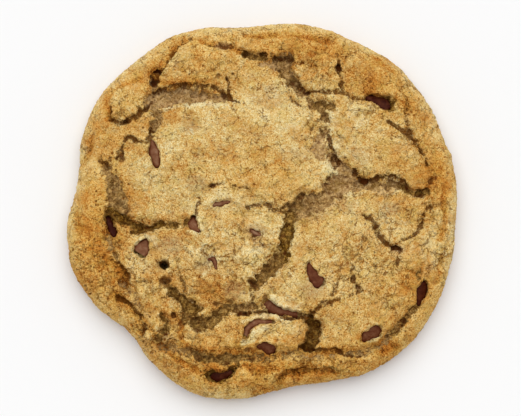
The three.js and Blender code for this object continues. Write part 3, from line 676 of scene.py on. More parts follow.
def write_attribute(piece, name, values):
    attribute = piece.data.attributes.new(name, "FLOAT", "POINT")
    attribute.data.foreach_set("value", np.asarray(values, dtype=np.float32))


def extrude_rings(first, stations):
    """Extrudes the selected ring from its (radius, height) on through each station, and fills the
    last one."""
    radius, height = first
    for next_radius, next_height in stations:
        rise = (0, 0, (next_height - height) * MM)
        bpy.ops.mesh.extrude_region_move(TRANSFORM_OT_translate={"value": rise})
        shrink = next_radius / radius
        bpy.ops.transform.resize(value=(shrink, shrink, 1), center_override=(0, 0, next_height * MM))
        radius, height = next_radius, next_height
    bpy.ops.mesh.edge_face_add()


def select_ring(piece, height):
    """Selects the points of the ring at this height, in edit mode."""
    bpy.ops.mesh.select_all(action="DESELECT")
    bpy.ops.object.mode_set(mode="OBJECT")
    for vertex in piece.data.vertices:
        vertex.select = abs(vertex.co.z - height * MM) < 1e-7
    bpy.ops.object.mode_set(mode="EDIT")


def model_rings(name, sides, widest, above, below):
    """A closed round shape drawn out from its widest ring, first up and then down."""
    bpy.ops.object.select_all(action="DESELECT")
    radius, height = widest
    bpy.ops.mesh.primitive_circle_add(
        vertices=sides, radius=radius * MM, location=(0, 0, height * MM)
    )
    piece = bpy.context.object
    piece.name = name
    bpy.ops.object.transform_apply(location=True)
    bpy.ops.object.mode_set(mode="EDIT")
    bpy.ops.mesh.select_mode(type="VERT")
    bpy.ops.mesh.select_all(action="SELECT")
    extrude_rings(widest, above)
    select_ring(piece, height)
    extrude_rings(widest, below)
    bpy.ops.mesh.select_all(action="SELECT")
    bpy.ops.mesh.normals_make_consistent(inside=False)
    bpy.ops.object.mode_set(mode="OBJECT")
    return piece


# ---- Dough ----
def shoulder_stations():
    """Rings of the blank from the widest line up to the flat top: (radius, height)."""
    steps = 12
    stations = []
    for i in range(1, steps + 1):
        inward = math.cos(math.pi / 2 * i / steps)
        radius = MEAN_RADIUS - SHOULDER_WIDTH + SHOULDER_WIDTH * inward
        rise = (1 - inward ** 2) ** SHOULDER_FULLNESS
        stations.append((radius, GIRTH_HEIGHT + (RIM_HEIGHT - GIRTH_HEIGHT) * rise))
    return stations


def foot_stations():
    """Rings of the blank from the widest line down to the flat underside."""
    steps = 6
    stations = []
    for i in range(1, steps + 1):
        turn = math.pi / 2 * i / steps
        radius = MEAN_RADIUS - FOOT_INSET + FOOT_INSET * math.cos(turn)
        stations.append((radius, GIRTH_HEIGHT * (1 - math.sin(turn))))
    return stations


def carve_forms(piece):
    """Gives the blank its outline, plates, gaps and deep pits."""
    points = read_points(piece)
    x, y, z = points.T
    angle = np.arctan2(y, x)
    radius = np.hypot(x, y)
    reach = radius + outline_at(angle) * radius / MEAN_RADIUS
    x = reach * np.cos(angle)
    y = reach * np.sin(angle)
    level = at_no_height(np.column_stack([x, y]))
    spots, ragged = torn(level)
    gaps = gap_fields(spots, ragged)
    pits, _ = pit_fields(level[:, :2], ragged, DEEP_PIT, math.inf)
    topness = smoothstep(z, GIRTH_HEIGHT + 0.5, RIM_HEIGHT - 1.5)
    relief = plate_lift(spots) - np.maximum(gaps["depth"], pits)
    brow = smoothstep(gaps["brow"], -0.2, 0.6)
    relief -= (0.1 + 0.4 * brow) * (1 - smoothstep(gaps["outside"], 0.0, 1.3))
    relief += 0.35 * bumps(level, 9.0, 2, 3.0) + 0.3 * bumps(level, 4.0, 2, 8.0)
    rough = np.clip(0.35 + patches(level[:, :2], ROUGH), 0, 1)
    relief += rough * 2.2 * (lumps(level + 0.8 * drift(level, 3.0, 9.0), 5.0, 17.0) - 0.25)
    in_gap = smoothstep(gaps["depth"], 0.4, 1.1)
    relief += in_gap * 0.8 * (lumps(level + 0.5 * drift(level, 2.0, 5.0), 3.0, 27.0) - 0.2)
    write_points(piece, np.column_stack([x, y, z + relief * topness]))


def crust_plane(piece, middle):
    """The plane that best fits the crust round a place: its height there and its two slopes."""
    steps = (-2.4, -1.2, 0, 1.2, 2.4)
    rows = []
    heights = []
    for dx, dy in [(dx, dy) for dx in steps for dy in steps]:
        start = Vector((middle[0] + dx, middle[1] + dy, WELL_ABOVE)) * MM
        found, hit, _, _ = piece.ray_cast(start, Vector((0, 0, -1)))
        if found:
            rows.append((1, dx, dy))
            heights.append(hit.z / MM)
    fitted, _, _, _ = np.linalg.lstsq(np.array(rows), np.array(heights), rcond=None)
    return fitted


def plane_at(plane, middle, spots):
    return plane[0] + (spots - middle) @ plane[1:]


def patch_middle(path):
    return curve_points(path).mean(0)


def open_over_chips(piece, planes):
    """Sinks the crust where it lies open over a chip, with a slight lip round the hole."""
    points = read_points(piece)
    level = level_of(points)
    ragged = 0.32 * bumps(level, 1.2, 3, 15.0)
    for name, (_, _, _, path, width, sink, _) in CHIPS.items():
        near, away, _ = near_curve(points[:, :2], path, width, 2.0)
        away = away + ragged[near]
        top = points[near, 2] > 2.0
        near, away = near[top], away[top]
        middle = patch_middle(path)
        floor = plane_at(planes[name], middle, points[near, :2]) - sink - 1.4
        share = 1 - smoothstep(away, -0.15, 0.2)
        sunk = np.minimum(points[near, 2], floor)
        lip = 0.25 * smoothstep(away, 0.0, 0.25) * (1 - smoothstep(away, 0.4, 1.2))
        points[near, 2] += share * (sunk - points[near, 2]) + lip
    write_points(piece, points)


def surface_fields(points, normals):
    """What each point of the dough's skin is like, as shares from 0 to 1 and depths in mm."""
    x, y, z = points.T
    level = level_of(points)
    angle = np.arctan2(y, x)
    outline = MEAN_RADIUS + outline_at(angle)
    outward = np.hypot(x, y) / outline
    spots, ragged = torn(level)
    fields = gap_fields(spots, ragged)
    under = smoothstep(-normals[:, 2], 0.3, 0.8) * (1 - smoothstep(z, 0.6, 2.5))
    side = smoothstep(outward, 0.9, 0.99) * (1 - under)
    top = (1 - side) * (1 - under)
    fields.update({"outward": outward, "under": under, "side": side, "top": top})
    fields["above"] = (1 - under) * (1 - 0.4 * side)
    fields["gap"] = smoothstep(fields["depth"], 0.3, 0.85) * top
    fields["crack_depth"], fields["crack"] = crack_fields(spots, ragged)
    fields["pit_depth"], fields["pit"] = pit_fields(points[:, :2], ragged, 0, DEEP_PIT)
    _, fields["deep_pit"] = pit_fields(points[:, :2], ragged, DEEP_PIT, BLACK_PIT)
    _, fields["black_pit"] = pit_fields(points[:, :2], ragged, BLACK_PIT, math.inf)
    fields["fold"], fields["fold_depth"] = band_field(spots, ragged, FOLDS, 0.9)
    fields["lip"], _ = band_field(points[:, :2], ragged, LIPS, 0.4)
    fields["lip"] *= 1 - fields["gap"]
    rough = np.clip(0.35 + patches(points[:, :2], ROUGH) + 0.3 * side, 0, 1) * (1 - under)
    fields["rough"] = rough
    ridge = np.abs(bumps(points + 0.8 * drift(points, 2.0, 2.0), 4.2, 3, 1.0))
    often = smoothstep(bumps(level, 5.0, 2, 20.0) + 0.7 * rough, 0.3, 0.7)
    fields["crackle"] = (1 - smoothstep(ridge, 0.0, 0.075)) * often * (1 - under)
    fields["lumps"] = lumps(points + 0.6 * drift(points, 1.7, 3.0), 2.3, 5.0)
    fields["crumbs"] = lumps(points + 0.25 * drift(points, 0.8, 4.0), 1.0, 7.0)
    return fields


def crumb_holes(points):
    """Shares of the small holes between the crumbs of the soft dough in the gaps."""
    return smoothstep(bumps(points, 1.4, 3, 70.0), 0.15, 0.5)


def held_in(points):
    """Nothing reaches below the flat underside, and the crust levels off towards its highest."""
    over = np.maximum(points[:, 2] - LEVEL_OFF_HEIGHT, 0)
    points[:, 2] += over / (1 + over / (HIGHEST - LEVEL_OFF_HEIGHT)) - over
    points[:, 2] = np.maximum(points[:, 2], 0)
    return points


def carve_crumb(piece):
    """Cracks, small pits and crumb, carved along the skin's own normals."""
    points = read_points(piece)
    normals = read_normals(piece)
    fields = surface_fields(points, normals)
    gap = fields["gap"]
    under = fields["under"]
    crust = (1 - gap) * (1 - under)
    rough = fields["rough"]
    rise = crust * (0.12 * bumps(points, 1.3, 2, 40.0) + 0.09 * bumps(points, 0.6, 2, 50.0))
    calm = 1 - 0.6 * fields["side"]
    rise += (0.3 + 0.7 * rough) * (1 - 0.5 * gap) * (fields["lumps"] - 0.25) * (1 - under) * calm
    rise += (0.22 + 0.12 * rough + 0.1 * gap) * (fields["crumbs"] - 0.25) * (1 - under) * calm
    rise += gap * (0.2 * bumps(points, 2.0, 3, 60.0) - 0.4 * crumb_holes(points))
    rise += under * 0.05 * bumps(points, 1.5, 2, 80.0)
    steps = 4 * bumps(level_of(points) + 1.5 * drift(points, 3.0, 4.0), 8.0, 3, 90.0)
    ledge = np.floor(steps) + smoothstep(steps - np.floor(steps), 0.75, 1.0) - steps
    rise += 0.2 * ledge * crust
    rise -= 0.4 * fields["crackle"] * crust
    cuts = 0.75 * fields["crack_depth"] + fields["pit_depth"] + fields["fold_depth"]
    rise -= cuts * fields["above"]
    rise += 0.15 * fields["lip"]
    write_points(piece, held_in(points + normals * rise[:, None]))
    return fields


def skin_attributes(points, fields):
    """What the dough's material reads at each point, each from 0 to 1."""
    spots = points[:, :2]
    top = fields["top"]
    near_edge = 1 - smoothstep(fields["outside"], 0.2, 1.8)
    inner_edge = smoothstep(fields["outside"], -1.6, -0.5)
    brow = smoothstep(fields["brow"], -0.1, 0.7)
    edge = smoothstep(fields["outward"], 0.92, 0.97) * (1 - fields["under"])
    # Painted light: sunny is the side facing the key light, and the outer edge there is drawn paler and
    # less brown
    sunny = 1 - smoothstep(-points[:, 1] / np.hypot(*spots.T), 0.1, 0.6)
    outward = fields["outward"]
    hollow = smoothstep(outward, 0.5, 0.74) * (1 - smoothstep(outward, 0.84, 0.9))
    # How brown the crust is, with painted light and shade worked in below
    toast_and_painted_light = 0.285 + 0.05 * smoothstep(outward, 0.82, 0.92) - 0.11 * edge * sunny
    # Painted shade and light: the hollow inside the rim is drawn browner as painted shade, and the
    # outermost edge paler as painted light thrown up from the white floor
    toast_and_painted_light += 0.07 * hollow - 0.06 * smoothstep(outward, 0.965, 0.985)
    toast_and_painted_light += 0.2 * (1 - smoothstep(points[:, 2], 0.8, 4.2)) * fields["side"]
    # Painted light and shade: gap edges facing the key light are drawn paler as painted highlight, edges
    # under an overhanging brow browner, partly real browning and partly painted shade, and the crackle
    # lines browner as painted shade in them
    toast_and_painted_light += near_edge * (0.22 * brow - 0.09) * top * (1 - fields["gap"]) + 0.12 * fields["crackle"]
    # The soft folds are drawn browner, partly real browning and partly painted shade in them
    toast_and_painted_light += 0.22 * fields["fold"] - 0.28 * fields["lip"]
    # Painted shade: the creases between the lumps and crumbs are drawn browner, where shade gathers
    crease = 1 - smoothstep(fields["lumps"], 0.0, 0.14)
    toast_and_painted_light += (0.1 + 0.14 * fields["rough"]) * crease * (1 - fields["under"])
    toast_and_painted_light += 0.12 * (0.25 - fields["crumbs"])
    toast_and_painted_light += patches(spots, TOASTED.values()) * (1 - fields["under"]) + 0.25 * fields["under"]
    browned_and_painted_light = 0.5 * smoothstep(fields["outward"], 0.6, 0.86) + patches(spots, BROWNED)
    browned_and_painted_light = (browned_and_painted_light + 0.5 * fields["fold"]) * (1 - 0.45 * edge * sunny) * (1 - fields["lip"])
    # Painted shade: the wall and floor just under the overhanging brow of a gap are drawn dark
    painted_shade_under_brow = smoothstep(fields["outside"], -1.2, -0.1) * brow
    painted_shade_under_brow *= smoothstep(-fields["outside"], 0.0, 0.3)
    # Painted shade: a dark rim round each chip's bare patch, where the crust's edge shades the hole
    chip_edge = np.zeros(len(points))
    for _, _, _, path, width, _, _ in CHIPS.values():
        near, away, _ = near_curve(spots, path, width, 1.0)
        chip_edge[near] = np.maximum(chip_edge[near], 1 - smoothstep(away, 0.1, 0.5))
    chip_edge *= smoothstep(bumps(points, 1.6, 2, 95.0), -0.25, 0.2) * top
    # Painted shade: pits, crackle lines, the holes between the crumbs in the gaps and the darkest gap
    # floors are drawn dark, the black pits fully, as they get no light
    dark = np.maximum.reduce([
        0.6 * fields["pit"] * top,
        0.84 * fields["deep_pit"] * top,
        fields["black_pit"],
        0.4 * fields["crackle"],
        0.35 * painted_shade_under_brow * top,
        0.5 * crumb_holes(points) * fields["gap"],
        0.3 * chip_edge,
        -fields["paleness"] * fields["gap"],
    ])
    return {
        "toast_and_painted_light": np.clip(toast_and_painted_light, 0, 1),
        "browned_and_painted_light": np.clip(browned_and_painted_light, 0, 1),
        "gap": fields["share"] * top,
        "crack": fields["crack"] * fields["above"],
        "near_edge": np.maximum(near_edge, fields["crack"]) * inner_edge * top,
        "pale_floor": np.clip(fields["paleness"], 0, 1),
        "dark": np.clip(dark, 0, 1),
        "rough": fields["rough"],
        "smear": np.clip(patches(spots, SMEARED), 0, 1) * top,
        "porous": np.clip(patches(spots, POROUS) + 0.1 * fields["side"], 0, 1),
    }


def model_dough():
    """The dough, and the plane of its crust round each chip."""
    widest = (MEAN_RADIUS, GIRTH_HEIGHT)
    dough = model_rings("baked_dough", BLANK_SIDES, widest, shoulder_stations(), foot_stations())
    apply_modifier(dough, "REMESH", mode="VOXEL", voxel_size=COARSE_STEP * MM)
    carve_forms(dough)
    planes = {name: crust_plane(dough, patch_middle(chip[3])) for name, chip in CHIPS.items()}
    open_over_chips(dough, planes)
    apply_modifier(dough, "REMESH", mode="VOXEL", voxel_size=FINE_STEP * MM)
    fields = carve_crumb(dough)
    for name, values in skin_attributes(read_points(dough), fields).items():
        write_attribute(dough, name, values)
    triangles = 2 * len(dough.data.polygons)
    apply_modifier(dough, "DECIMATE", decimate_type="COLLAPSE", ratio=MOST_TRIANGLES / triangles)
    return dough, planes


# ---- Chips ----
def model_chip(name, plane):
    """A drop of chocolate that lies as its solid does, with its bare face settled level with the
    crust, as one softens in the oven."""
    size, lean, point, path, width, sink, bloom_and_shade = CHIPS[name]
    radius = CHIP_RADIUS * size
    height = CHIP_HEIGHT * size
    above = [(share * radius, rise * height) for share, rise in CHIP_ABOVE]
    below = [(share * radius, rise * height) for share, rise in CHIP_BELOW]
    chip = model_rings(name + "_drop", CHIP_SIDES, (radius, CHIP_WIDEST * height), above, below)
    apply_modifier(chip, "SUBSURF", levels=2, render_levels=2)
    points = read_points(chip)
    points += 0.12 * drift(points + 20 * len(name), 2.6, point)
    turn = Matrix.Rotation(math.radians(point), 3, "Z") @ Matrix.Rotation(math.radians(lean), 3, "Y")
    points = points @ np.array(turn).T
    middle = patch_middle(path)
    centre = (points.min(0) + points.max(0)) / 2
    points[:, :2] += middle - centre[:2]
    points[:, 2] += plane[0] - sink - points[:, 2].max()
    near, away, _ = near_curve(points[:, :2], path, width, 3.0)
    upper = points[near, 2] > points[:, 2].mean()
    near, away = near[upper], away[upper]
    face = plane_at(plane, middle, points[near, :2]) - sink - 0.12 * np.maximum(away + 1, 0) ** 2
    face += 0.14 * bumps(points[near], 1.7, 3, 33.0)
    share = 1 - smoothstep(away, 0.6, 2.2)
    points[near, 2] += share * (face - points[near, 2])
    cover = plane_at(plane, middle, points[near, :2]) - sink - 1.6 * np.maximum(away, 0)
    points[near, 2] = np.minimum(points[near, 2], cover)
    write_points(chip, points)
    # Painted shade: each chip is drawn darker towards the edge of its bare patch, where the crust's edge
    # shades it
    paler = np.full(len(points), 0.5)
    near, away, _ = near_curve(points[:, :2], path, width, 3.0)
    paler[near] += 0.5 * smoothstep(-away, -0.15, 0.5)
    write_attribute(chip, "bloom_and_shade", bloom_and_shade * paler)
    select_only(chip)
    bpy.ops.object.shade_smooth()
    return chip


# ---- Materials ----
def linear(code):
    """An sRGB hex colour as linear red, green, blue and alpha."""
    parts = [int(code[i:i + 2], 16) / 255 for i in (0, 2, 4)]
    return [p / 12.92 if p <= 0.04045 else ((p + 0.055) / 1.055) ** 2.4 for p in parts] + [1.0]


def scale_for(size_mm):
    """A pattern's scale, from how far apart its lumps or cells are in mm."""
    return 1 / (size_mm * MM)


def lumpy(where, size_mm, detail, rough):
    """The inputs of a noise with lumps about size_mm apart."""
    return {"Vector": where, "Scale": scale_for(size_mm), "Detail": detail, "Roughness": rough}


def span(value, low, high, to_low=0.0, to_high=1.0):
    """The inputs that carry a value from one range to another."""
    return {"Value": value, "From Min": low, "From Max": high, "To Min": to_low, "To Max": to_high}


def add(tree, kind, inputs=None, output=None, stops=(), **settings):
    """Adds a node with its settings and links, and returns its first output or the one named. An
    input is a number, a colour or another node's output. Stops are a colour ramp's places and
    colours."""
    node = tree.nodes.new("ShaderNode" + kind)
    for name, value in settings.items():
        setattr(node, name, value)
    for name, value in (inputs or {}).items():
        if isinstance(value, bpy.types.NodeSocket):
            tree.links.new(value, node.inputs[name])
        else:
            node.inputs[name].default_value = value
    if stops:
        elements = node.color_ramp.elements
        while len(elements) < len(stops):
            elements.new(0.5)
        for element, (place, code) in zip(elements, stops):
            element.position = place
            element.color = linear(code)
    if output:
        return node.outputs[output]
    return next(socket for socket in node.outputs if socket.enabled)


def creases(tree, where, size_mm, distortion):
    """Rounded crumbs about size_mm across with sharp creases between them, where this is 0."""
    inputs = {"Vector": where, "Scale": scale_for(size_mm), "Detail": 0.0, "Distortion": distortion}
    swell = add(tree, "TexNoise", inputs)
    centred = add(tree, "Math", {0: swell, 1: 0.5}, operation="SUBTRACT")
    return add(tree, "Math", {0: centred}, operation="ABSOLUTE")


def meander(tree, where, size_mm, reach_mm):
    """A small vector that wanders over the surface, to bend a pattern out of its regular cells."""
    inputs = {"Vector": where, "Scale": scale_for(size_mm), "Detail": 1.0}
    swirl = add(tree, "TexNoise", inputs, output="Color")
    centred = add(tree, "VectorMath", {0: swirl, 1: (0.5, 0.5, 0.5)}, operation="SUBTRACT")
    return add(tree, "VectorMath", {0: centred, "Scale": reach_mm * MM}, operation="SCALE")


def frayed(tree, where, share, size_mm, reach):
    """A soft-edged share with its edge crumbled by noise of that reach."""
    noisy = add(tree, "TexNoise", lumpy(where, size_mm, 3, 0.8))
    crumbled = add(tree, "MapRange", span(noisy, 0.3, 0.7, -reach, reach))
    uneven = add(tree, "Math", {0: share, 1: crumbled}, operation="ADD")
    return add(tree, "MapRange", span(uneven, 0.42, 0.58))


def specks(tree, where, size_mm, chance, core, rim):
    """Soft round specks in some cells of a scattered pattern. Chance is the share of the cells that
    hold one, and core and rim are where it starts and ends to fade, as shares of the cell."""
    cells = add(tree, "TexVoronoi", {"Vector": where, "Scale": scale_for(size_mm)})
    chosen = add(tree, "Math", {0: cells.node.outputs["Color"], 1: chance}, operation="LESS_THAN")
    speck = add(tree, "MapRange", span(cells, core, rim, 1.0, 0.0))
    return add(tree, "Math", {0: speck, 1: chosen}, operation="MULTIPLY")


def hairline_cracks(tree, where, fine):
    """Fine cracks that come and go along the borders of bent cells, more often in rough crust."""
    place = add(tree, "VectorMath", {0: where, 1: meander(tree, where, 2.4, 3.0)}, operation="ADD")
    place = add(tree, "VectorMath", {0: place, 1: meander(tree, where, 0.6, 0.7)}, operation="ADD")
    rough = add(tree, "Attribute", output="Fac", attribute_name="rough")
    rougher = add(tree, "Math", {0: rough, 1: 0.13}, operation="MULTIPLY")
    broken = add(tree, "MapRange", span(fine, 0.4, 0.55, 1.0, 0.3))
    cracks = 0.0
    for cell_mm, widest, rarest in HAIRLINES:
        inputs = {"Vector": place, "Scale": scale_for(cell_mm)}
        border = add(tree, "TexVoronoi", inputs, feature="DISTANCE_TO_EDGE")
        scattered = add(tree, "TexNoise", lumpy(where, 1.3 * cell_mm, 3, 0.6))
        often = add(tree, "Math", {0: scattered, 1: rougher}, operation="ADD")
        width = add(tree, "MapRange", span(often, rarest, rarest + 0.2, 0.001, widest))
        core = add(tree, "Math", {0: width, 1: 0.3}, operation="MULTIPLY")
        line = add(tree, "MapRange", span(border, core, width, 1.0, 0.0))
        line = add(tree, "Math", {0: line, 1: broken}, operation="MULTIPLY")
        cracks = add(tree, "Math", {0: cracks, 1: line}, operation="MAXIMUM")
    return cracks


def mottled(tree, where, colour, tints):
    """A colour with soft spots of other ones."""
    for size_mm, detail, rough, low, high, strength, code in tints:
        spots = add(tree, "TexNoise", lumpy(where, size_mm, detail, rough))
        share = add(tree, "MapRange", span(spots, low, high, 0.0, strength))
        colour = add(tree, "Mix", {0: share, 6: colour, 7: linear(code)}, data_type="RGBA")
    return colour


def stained(tree, colour, share, strength, code):
    """A colour with a stain laid over it, as strong as its share times the strength."""
    share = add(tree, "Math", {0: share, 1: strength}, operation="MULTIPLY")
    return add(tree, "Mix", {0: share, 6: colour, 7: linear(code)}, data_type="RGBA")


def summed(tree, parts):
    """The sum of patterns, each times its weight."""
    total = 0.0
    for pattern, weight in parts:
        total = add(tree, "Math", {0: pattern, 1: weight, 2: total}, operation="MULTIPLY_ADD")
    return total


def new_material(name):
    material = bpy.data.materials.new(name)
    material.use_nodes = True
    tree = material.node_tree
    return material, tree, tree.nodes["Principled BSDF"]


# Crust from unbaked to nearly burnt, and the soft dough in the gaps from the painted shade of its
# holes to its crumbs, darker in the deep gaps as painted shade
CRUST_COLOURS = [
    (0.0, "F5E4B0"), (0.2, "EBCD87"), (0.4, "DBB166"), (0.56, "CD9648"), (0.72, "B5732A"),
    (0.87, "864A14"), (1.0, "502A0A"),
]
DARK_FLOOR = [(0.0, "2E1600"), (0.25, "5E3A06"), (0.6, "90661E"), (1.0, "C49848")]
PALE_FLOOR = [(0.0, "6A4410"), (0.25, "9A743E"), (0.6, "BA925C"), (1.0, "D8B47C")]
# Painted shade of the pits and recesses, deep brown, and nearly black in the black pits
PIT_COLOURS = [(0.85, "561E04"), (1.0, "0C0604")]
CHOCOLATE_COLOURS = [(0.0, "3A1004"), (0.35, "5E301A"), (0.65, "7C5238"), (1.0, "9C7C60")]

# Soft spots: size in mm, detail, roughness, noise where they start and are full, strength, colour.
# On the crust they are orange where it browned, olive where moist and ashen over a hidden chip
CRUST_TINTS = [
    (6.0, 3, 0.6, 0.5, 0.64, 0.42, "C88A3C"),
    (3.2, 5, 0.8, 0.48, 0.66, 0.45, "D2B862"),
    (2.6, 4, 0.75, 0.54, 0.72, 0.32, "B5A077"),
]
FLOOR_TINTS = [
    (2.2, 4, 0.7, 0.5, 0.62, 0.55, "A27C38"),
    (1.5, 4, 0.75, 0.54, 0.66, 0.6, "4A2806"),
]

# Hairline cracks: cell size in mm, widest crack as a share of it, noise above which they show
HAIRLINES = [(5.2, 0.1, 0.57), (2.4, 0.12, 0.6)]


def crust_colour(tree, where, fine, crumbs, wrinkles, chance_of_motes):
    """The colour of the crust, with its pores, motes and hairline cracks. Also returns those."""
    broad = add(tree, "TexNoise", lumpy(where, 12, 3, 0.6))
    patchy = add(tree, "TexNoise", lumpy(where, 4, 4, 0.6))
    toast_and_painted_light = add(tree, "Attribute", output="Fac", attribute_name="toast_and_painted_light")
    # Painted shade: the creases between the crumbs and the wrinkles are drawn browner, where shade
    # gathers
    for pattern, low, high, to_low, to_high in (
        (broad, 0.3, 0.7, -0.1, 0.1),
        (patchy, 0.3, 0.7, -0.13, 0.13),
        (crumbs, 0.0, 0.06, 0.14, -0.03),
        (wrinkles, 0.0, 0.08, 0.1, -0.04),
        (fine, 0.32, 0.5, 0.36, 0.0),
        (fine, 0.5, 0.68, 0.0, -0.28),
    ):
        part = add(tree, "MapRange", span(pattern, low, high, to_low, to_high))
        toast_and_painted_light = add(tree, "Math", {0: toast_and_painted_light, 1: part}, operation="ADD")
    crust = add(tree, "ValToRGB", {"Fac": toast_and_painted_light}, stops=CRUST_COLOURS)
    crust = mottled(tree, where, crust, CRUST_TINTS)
    browned_and_painted_light = add(tree, "Attribute", output="Fac", attribute_name="browned_and_painted_light")
    inputs = {0: browned_and_painted_light, 6: crust, 7: linear("FAE6C0")}
    crust = add(tree, "Mix", inputs, data_type="RGBA", blend_type="MULTIPLY")
    smear = add(tree, "Attribute", output="Fac", attribute_name="smear")
    crust = stained(tree, crust, smear, 0.6, "9A7C62")

    place = add(tree, "VectorMath", {0: where, 1: meander(tree, where, 0.9, 0.5)}, operation="ADD")
    porous = add(tree, "Attribute", output="Fac", attribute_name="porous")
    chance_of_pores = add(tree, "MapRange", span(porous, 0.0, 1.0, 0.08, 0.7))
    pores = specks(tree, place, 1.1, chance_of_pores, 0.16, 0.34)
    crust = stained(tree, crust, pores, 0.85, "6C3804")
    motes = specks(tree, place, 0.6, chance_of_motes, 0.2, 0.45)
    crust = stained(tree, crust, motes, 0.65, "824800")
    hairlines = hairline_cracks(tree, where, fine)
    crust = stained(tree, crust, hairlines, 0.8, "764000")
    return crust, pores, motes, hairlines


def gap_colour(tree, where, fine, crumbs, holes):
    """The colour of the soft dough in the gaps, with painted shade in the hollows between its
    crumbs. Also returns those hollows.
    """
    coarse = add(tree, "TexNoise", lumpy(where, 1.8, 4, 0.7))
    crumb = summed(tree, ((crumbs, 1.2), (fine, 1.0), (coarse, 1.6)))
    crumb = add(tree, "MapRange", span(crumb, 0.98, 1.62))
    paleness = add(tree, "Attribute", output="Fac", attribute_name="pale_floor")
    dark_floor = add(tree, "ValToRGB", {"Fac": crumb}, stops=DARK_FLOOR)
    pale_floor = add(tree, "ValToRGB", {"Fac": crumb}, stops=PALE_FLOOR)
    floor = add(tree, "Mix", {0: paleness, 6: dark_floor, 7: pale_floor}, data_type="RGBA")
    floor = mottled(tree, where, floor, FLOOR_TINTS)
    crumbly = add(tree, "TexNoise", lumpy(where, 1.0, 4, 0.85))
    between = add(tree, "MapRange", span(crumbly, 0.5, 0.56))
    depth = add(tree, "MapRange", span(paleness, 0.0, 1.0, 0.58, 0.12))
    hollows = add(tree, "Math", {0: between, 1: depth}, operation="MULTIPLY")
    # Painted shade: the hollows between the crumbs and the small holes are drawn nearly black-brown, more
    # so in the darker floors
    share = add(tree, "Math", {0: hollows, 1: holes}, operation="MAXIMUM")
    floor = add(tree, "Mix", {0: share, 6: floor, 7: linear("3A1C02")}, data_type="RGBA")
    return floor, hollows


def baked_dough_material():
    """Baked dough: a dry matt crust of fine crumbs, browner where it stood proud, with darker crumb
    in the gaps, painted shade in its creases, cracks, pits and deep gaps, orange-brown pores, and
    pale smears of chip melted under the skin."""
    material, tree, shader = new_material("baked_dough")
    where = add(tree, "TexCoord", output="Object")

    # Grains of flour are too fine to show, so the finest grain is drawn 0.34 mm across
    fine = add(tree, "TexNoise", lumpy(where, 0.34, 2, 0.8))
    crumbs = creases(tree, where, 1.1, 0.5)
    wrinkles = creases(tree, where, 0.6, 1.0)

    near_edge = add(tree, "Attribute", output="Fac", attribute_name="near_edge")
    chance = add(tree, "MapRange", span(near_edge, 0.0, 1.0, 0.2, 0.6))
    crust, pores, motes, hairlines = crust_colour(tree, where, fine, crumbs, wrinkles, chance)
    strength = add(tree, "MapRange", span(chance, 0.2, 0.55, 0.2, 0.7))
    holes = add(tree, "Math", {0: motes, 1: strength}, operation="MULTIPLY")
    floor, hollows = gap_colour(tree, where, fine, crumbs, holes)
    gap = add(tree, "Attribute", output="Fac", attribute_name="gap")
    inputs = {0: frayed(tree, where, gap, 1.0, 0.36), 6: crust, 7: floor}
    colour = add(tree, "Mix", inputs, data_type="RGBA")

    crack = add(tree, "Attribute", output="Fac", attribute_name="crack")
    crack_core = frayed(tree, where, crack, 0.7, 0.62)
    # Painted shade: the band round each crack is drawn browner, partly real browning and partly painted
    # shade, and its core dark as painted shade in the crack
    colour = stained(tree, colour, crack, 0.5, "8E5606")
    colour = stained(tree, colour, crack_core, 0.75, "5E2E02")

    # Painted shade: where dark is set, the colour goes to deep brown, and nearly black in the black pits
    dark = add(tree, "Attribute", output="Fac", attribute_name="dark")
    crumbly = add(tree, "TexNoise", lumpy(where, 0.7, 3, 0.8))
    patchy = add(tree, "MapRange", span(crumbly, 0.35, 0.6, 1.0, 0.6))
    share = add(tree, "Math", {0: dark, 1: patchy}, operation="MULTIPLY")
    pit_colour = add(tree, "ValToRGB", {"Fac": dark}, stops=PIT_COLOURS)
    colour = add(tree, "Mix", {0: share, 6: colour, 7: pit_colour}, data_type="RGBA")
    tree.links.new(colour, shader.inputs["Base Color"])
    shader.inputs["Roughness"].default_value = 0.82
    shader.inputs["Specular IOR Level"].default_value = 0.08

    sunk = add(tree, "Math", {0: hollows, 1: gap}, operation="MULTIPLY")
    height = summed(tree, (
        (fine, 0.5), (crumbs, 2.4), (wrinkles, 1.6), (pores, -0.8), (hairlines, -0.5),
        (crack_core, -1.2), (sunk, -1.2),
    ))
    bump = add(tree, "Bump", {"Height": height, "Strength": 0.9, "Distance": 0.3 * MM})
    tree.links.new(bump, shader.inputs["Normal"])
    return material


def chocolate_material():
    """Baked chocolate: dark and satin where it melted, dull and paler where fat-bloomed, and darker
    as painted shade deep in its hole and by the crust's edge.
    """
    material, tree, shader = new_material("chocolate")
    where = add(tree, "TexCoord", output="Object")
    bloom_and_shade = add(tree, "Attribute", output="Fac", attribute_name="bloom_and_shade")
    cloudy = add(tree, "TexNoise", lumpy(where, 1.2, 4, 0.7))
    dusting = add(tree, "MapRange", span(cloudy, 0.3, 0.7, -0.2, 0.2))
    shade = add(tree, "Math", {0: bloom_and_shade, 1: dusting}, operation="ADD")
    colour = add(tree, "ValToRGB", {"Fac": shade}, stops=CHOCOLATE_COLOURS)
    tree.links.new(colour, shader.inputs["Base Color"])
    roughness = add(tree, "MapRange", span(bloom_and_shade, 0.0, 1.0, 0.42, 0.6))
    tree.links.new(roughness, shader.inputs["Roughness"])
    shader.inputs["Specular IOR Level"].default_value = 0.06
    height = add(tree, "TexNoise", lumpy(where, 0.9, 4, 0.6))
    bump = add(tree, "Bump", {"Height": height, "Strength": 0.8, "Distance": 0.25 * MM})
    tree.links.new(bump, shader.inputs["Normal"])
    return material


dough, crust_planes = model_dough()
select_only(dough)
bpy.ops.object.shade_smooth()
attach(dough, "root")
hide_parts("dough")
dough.data.materials.append(baked_dough_material())

chocolate = chocolate_material()
for chip_name in CHIPS:
    drop = model_chip(chip_name, crust_planes[chip_name])
    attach(drop, "root")
    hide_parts(chip_name)
    drop.data.materials.append(chocolate)

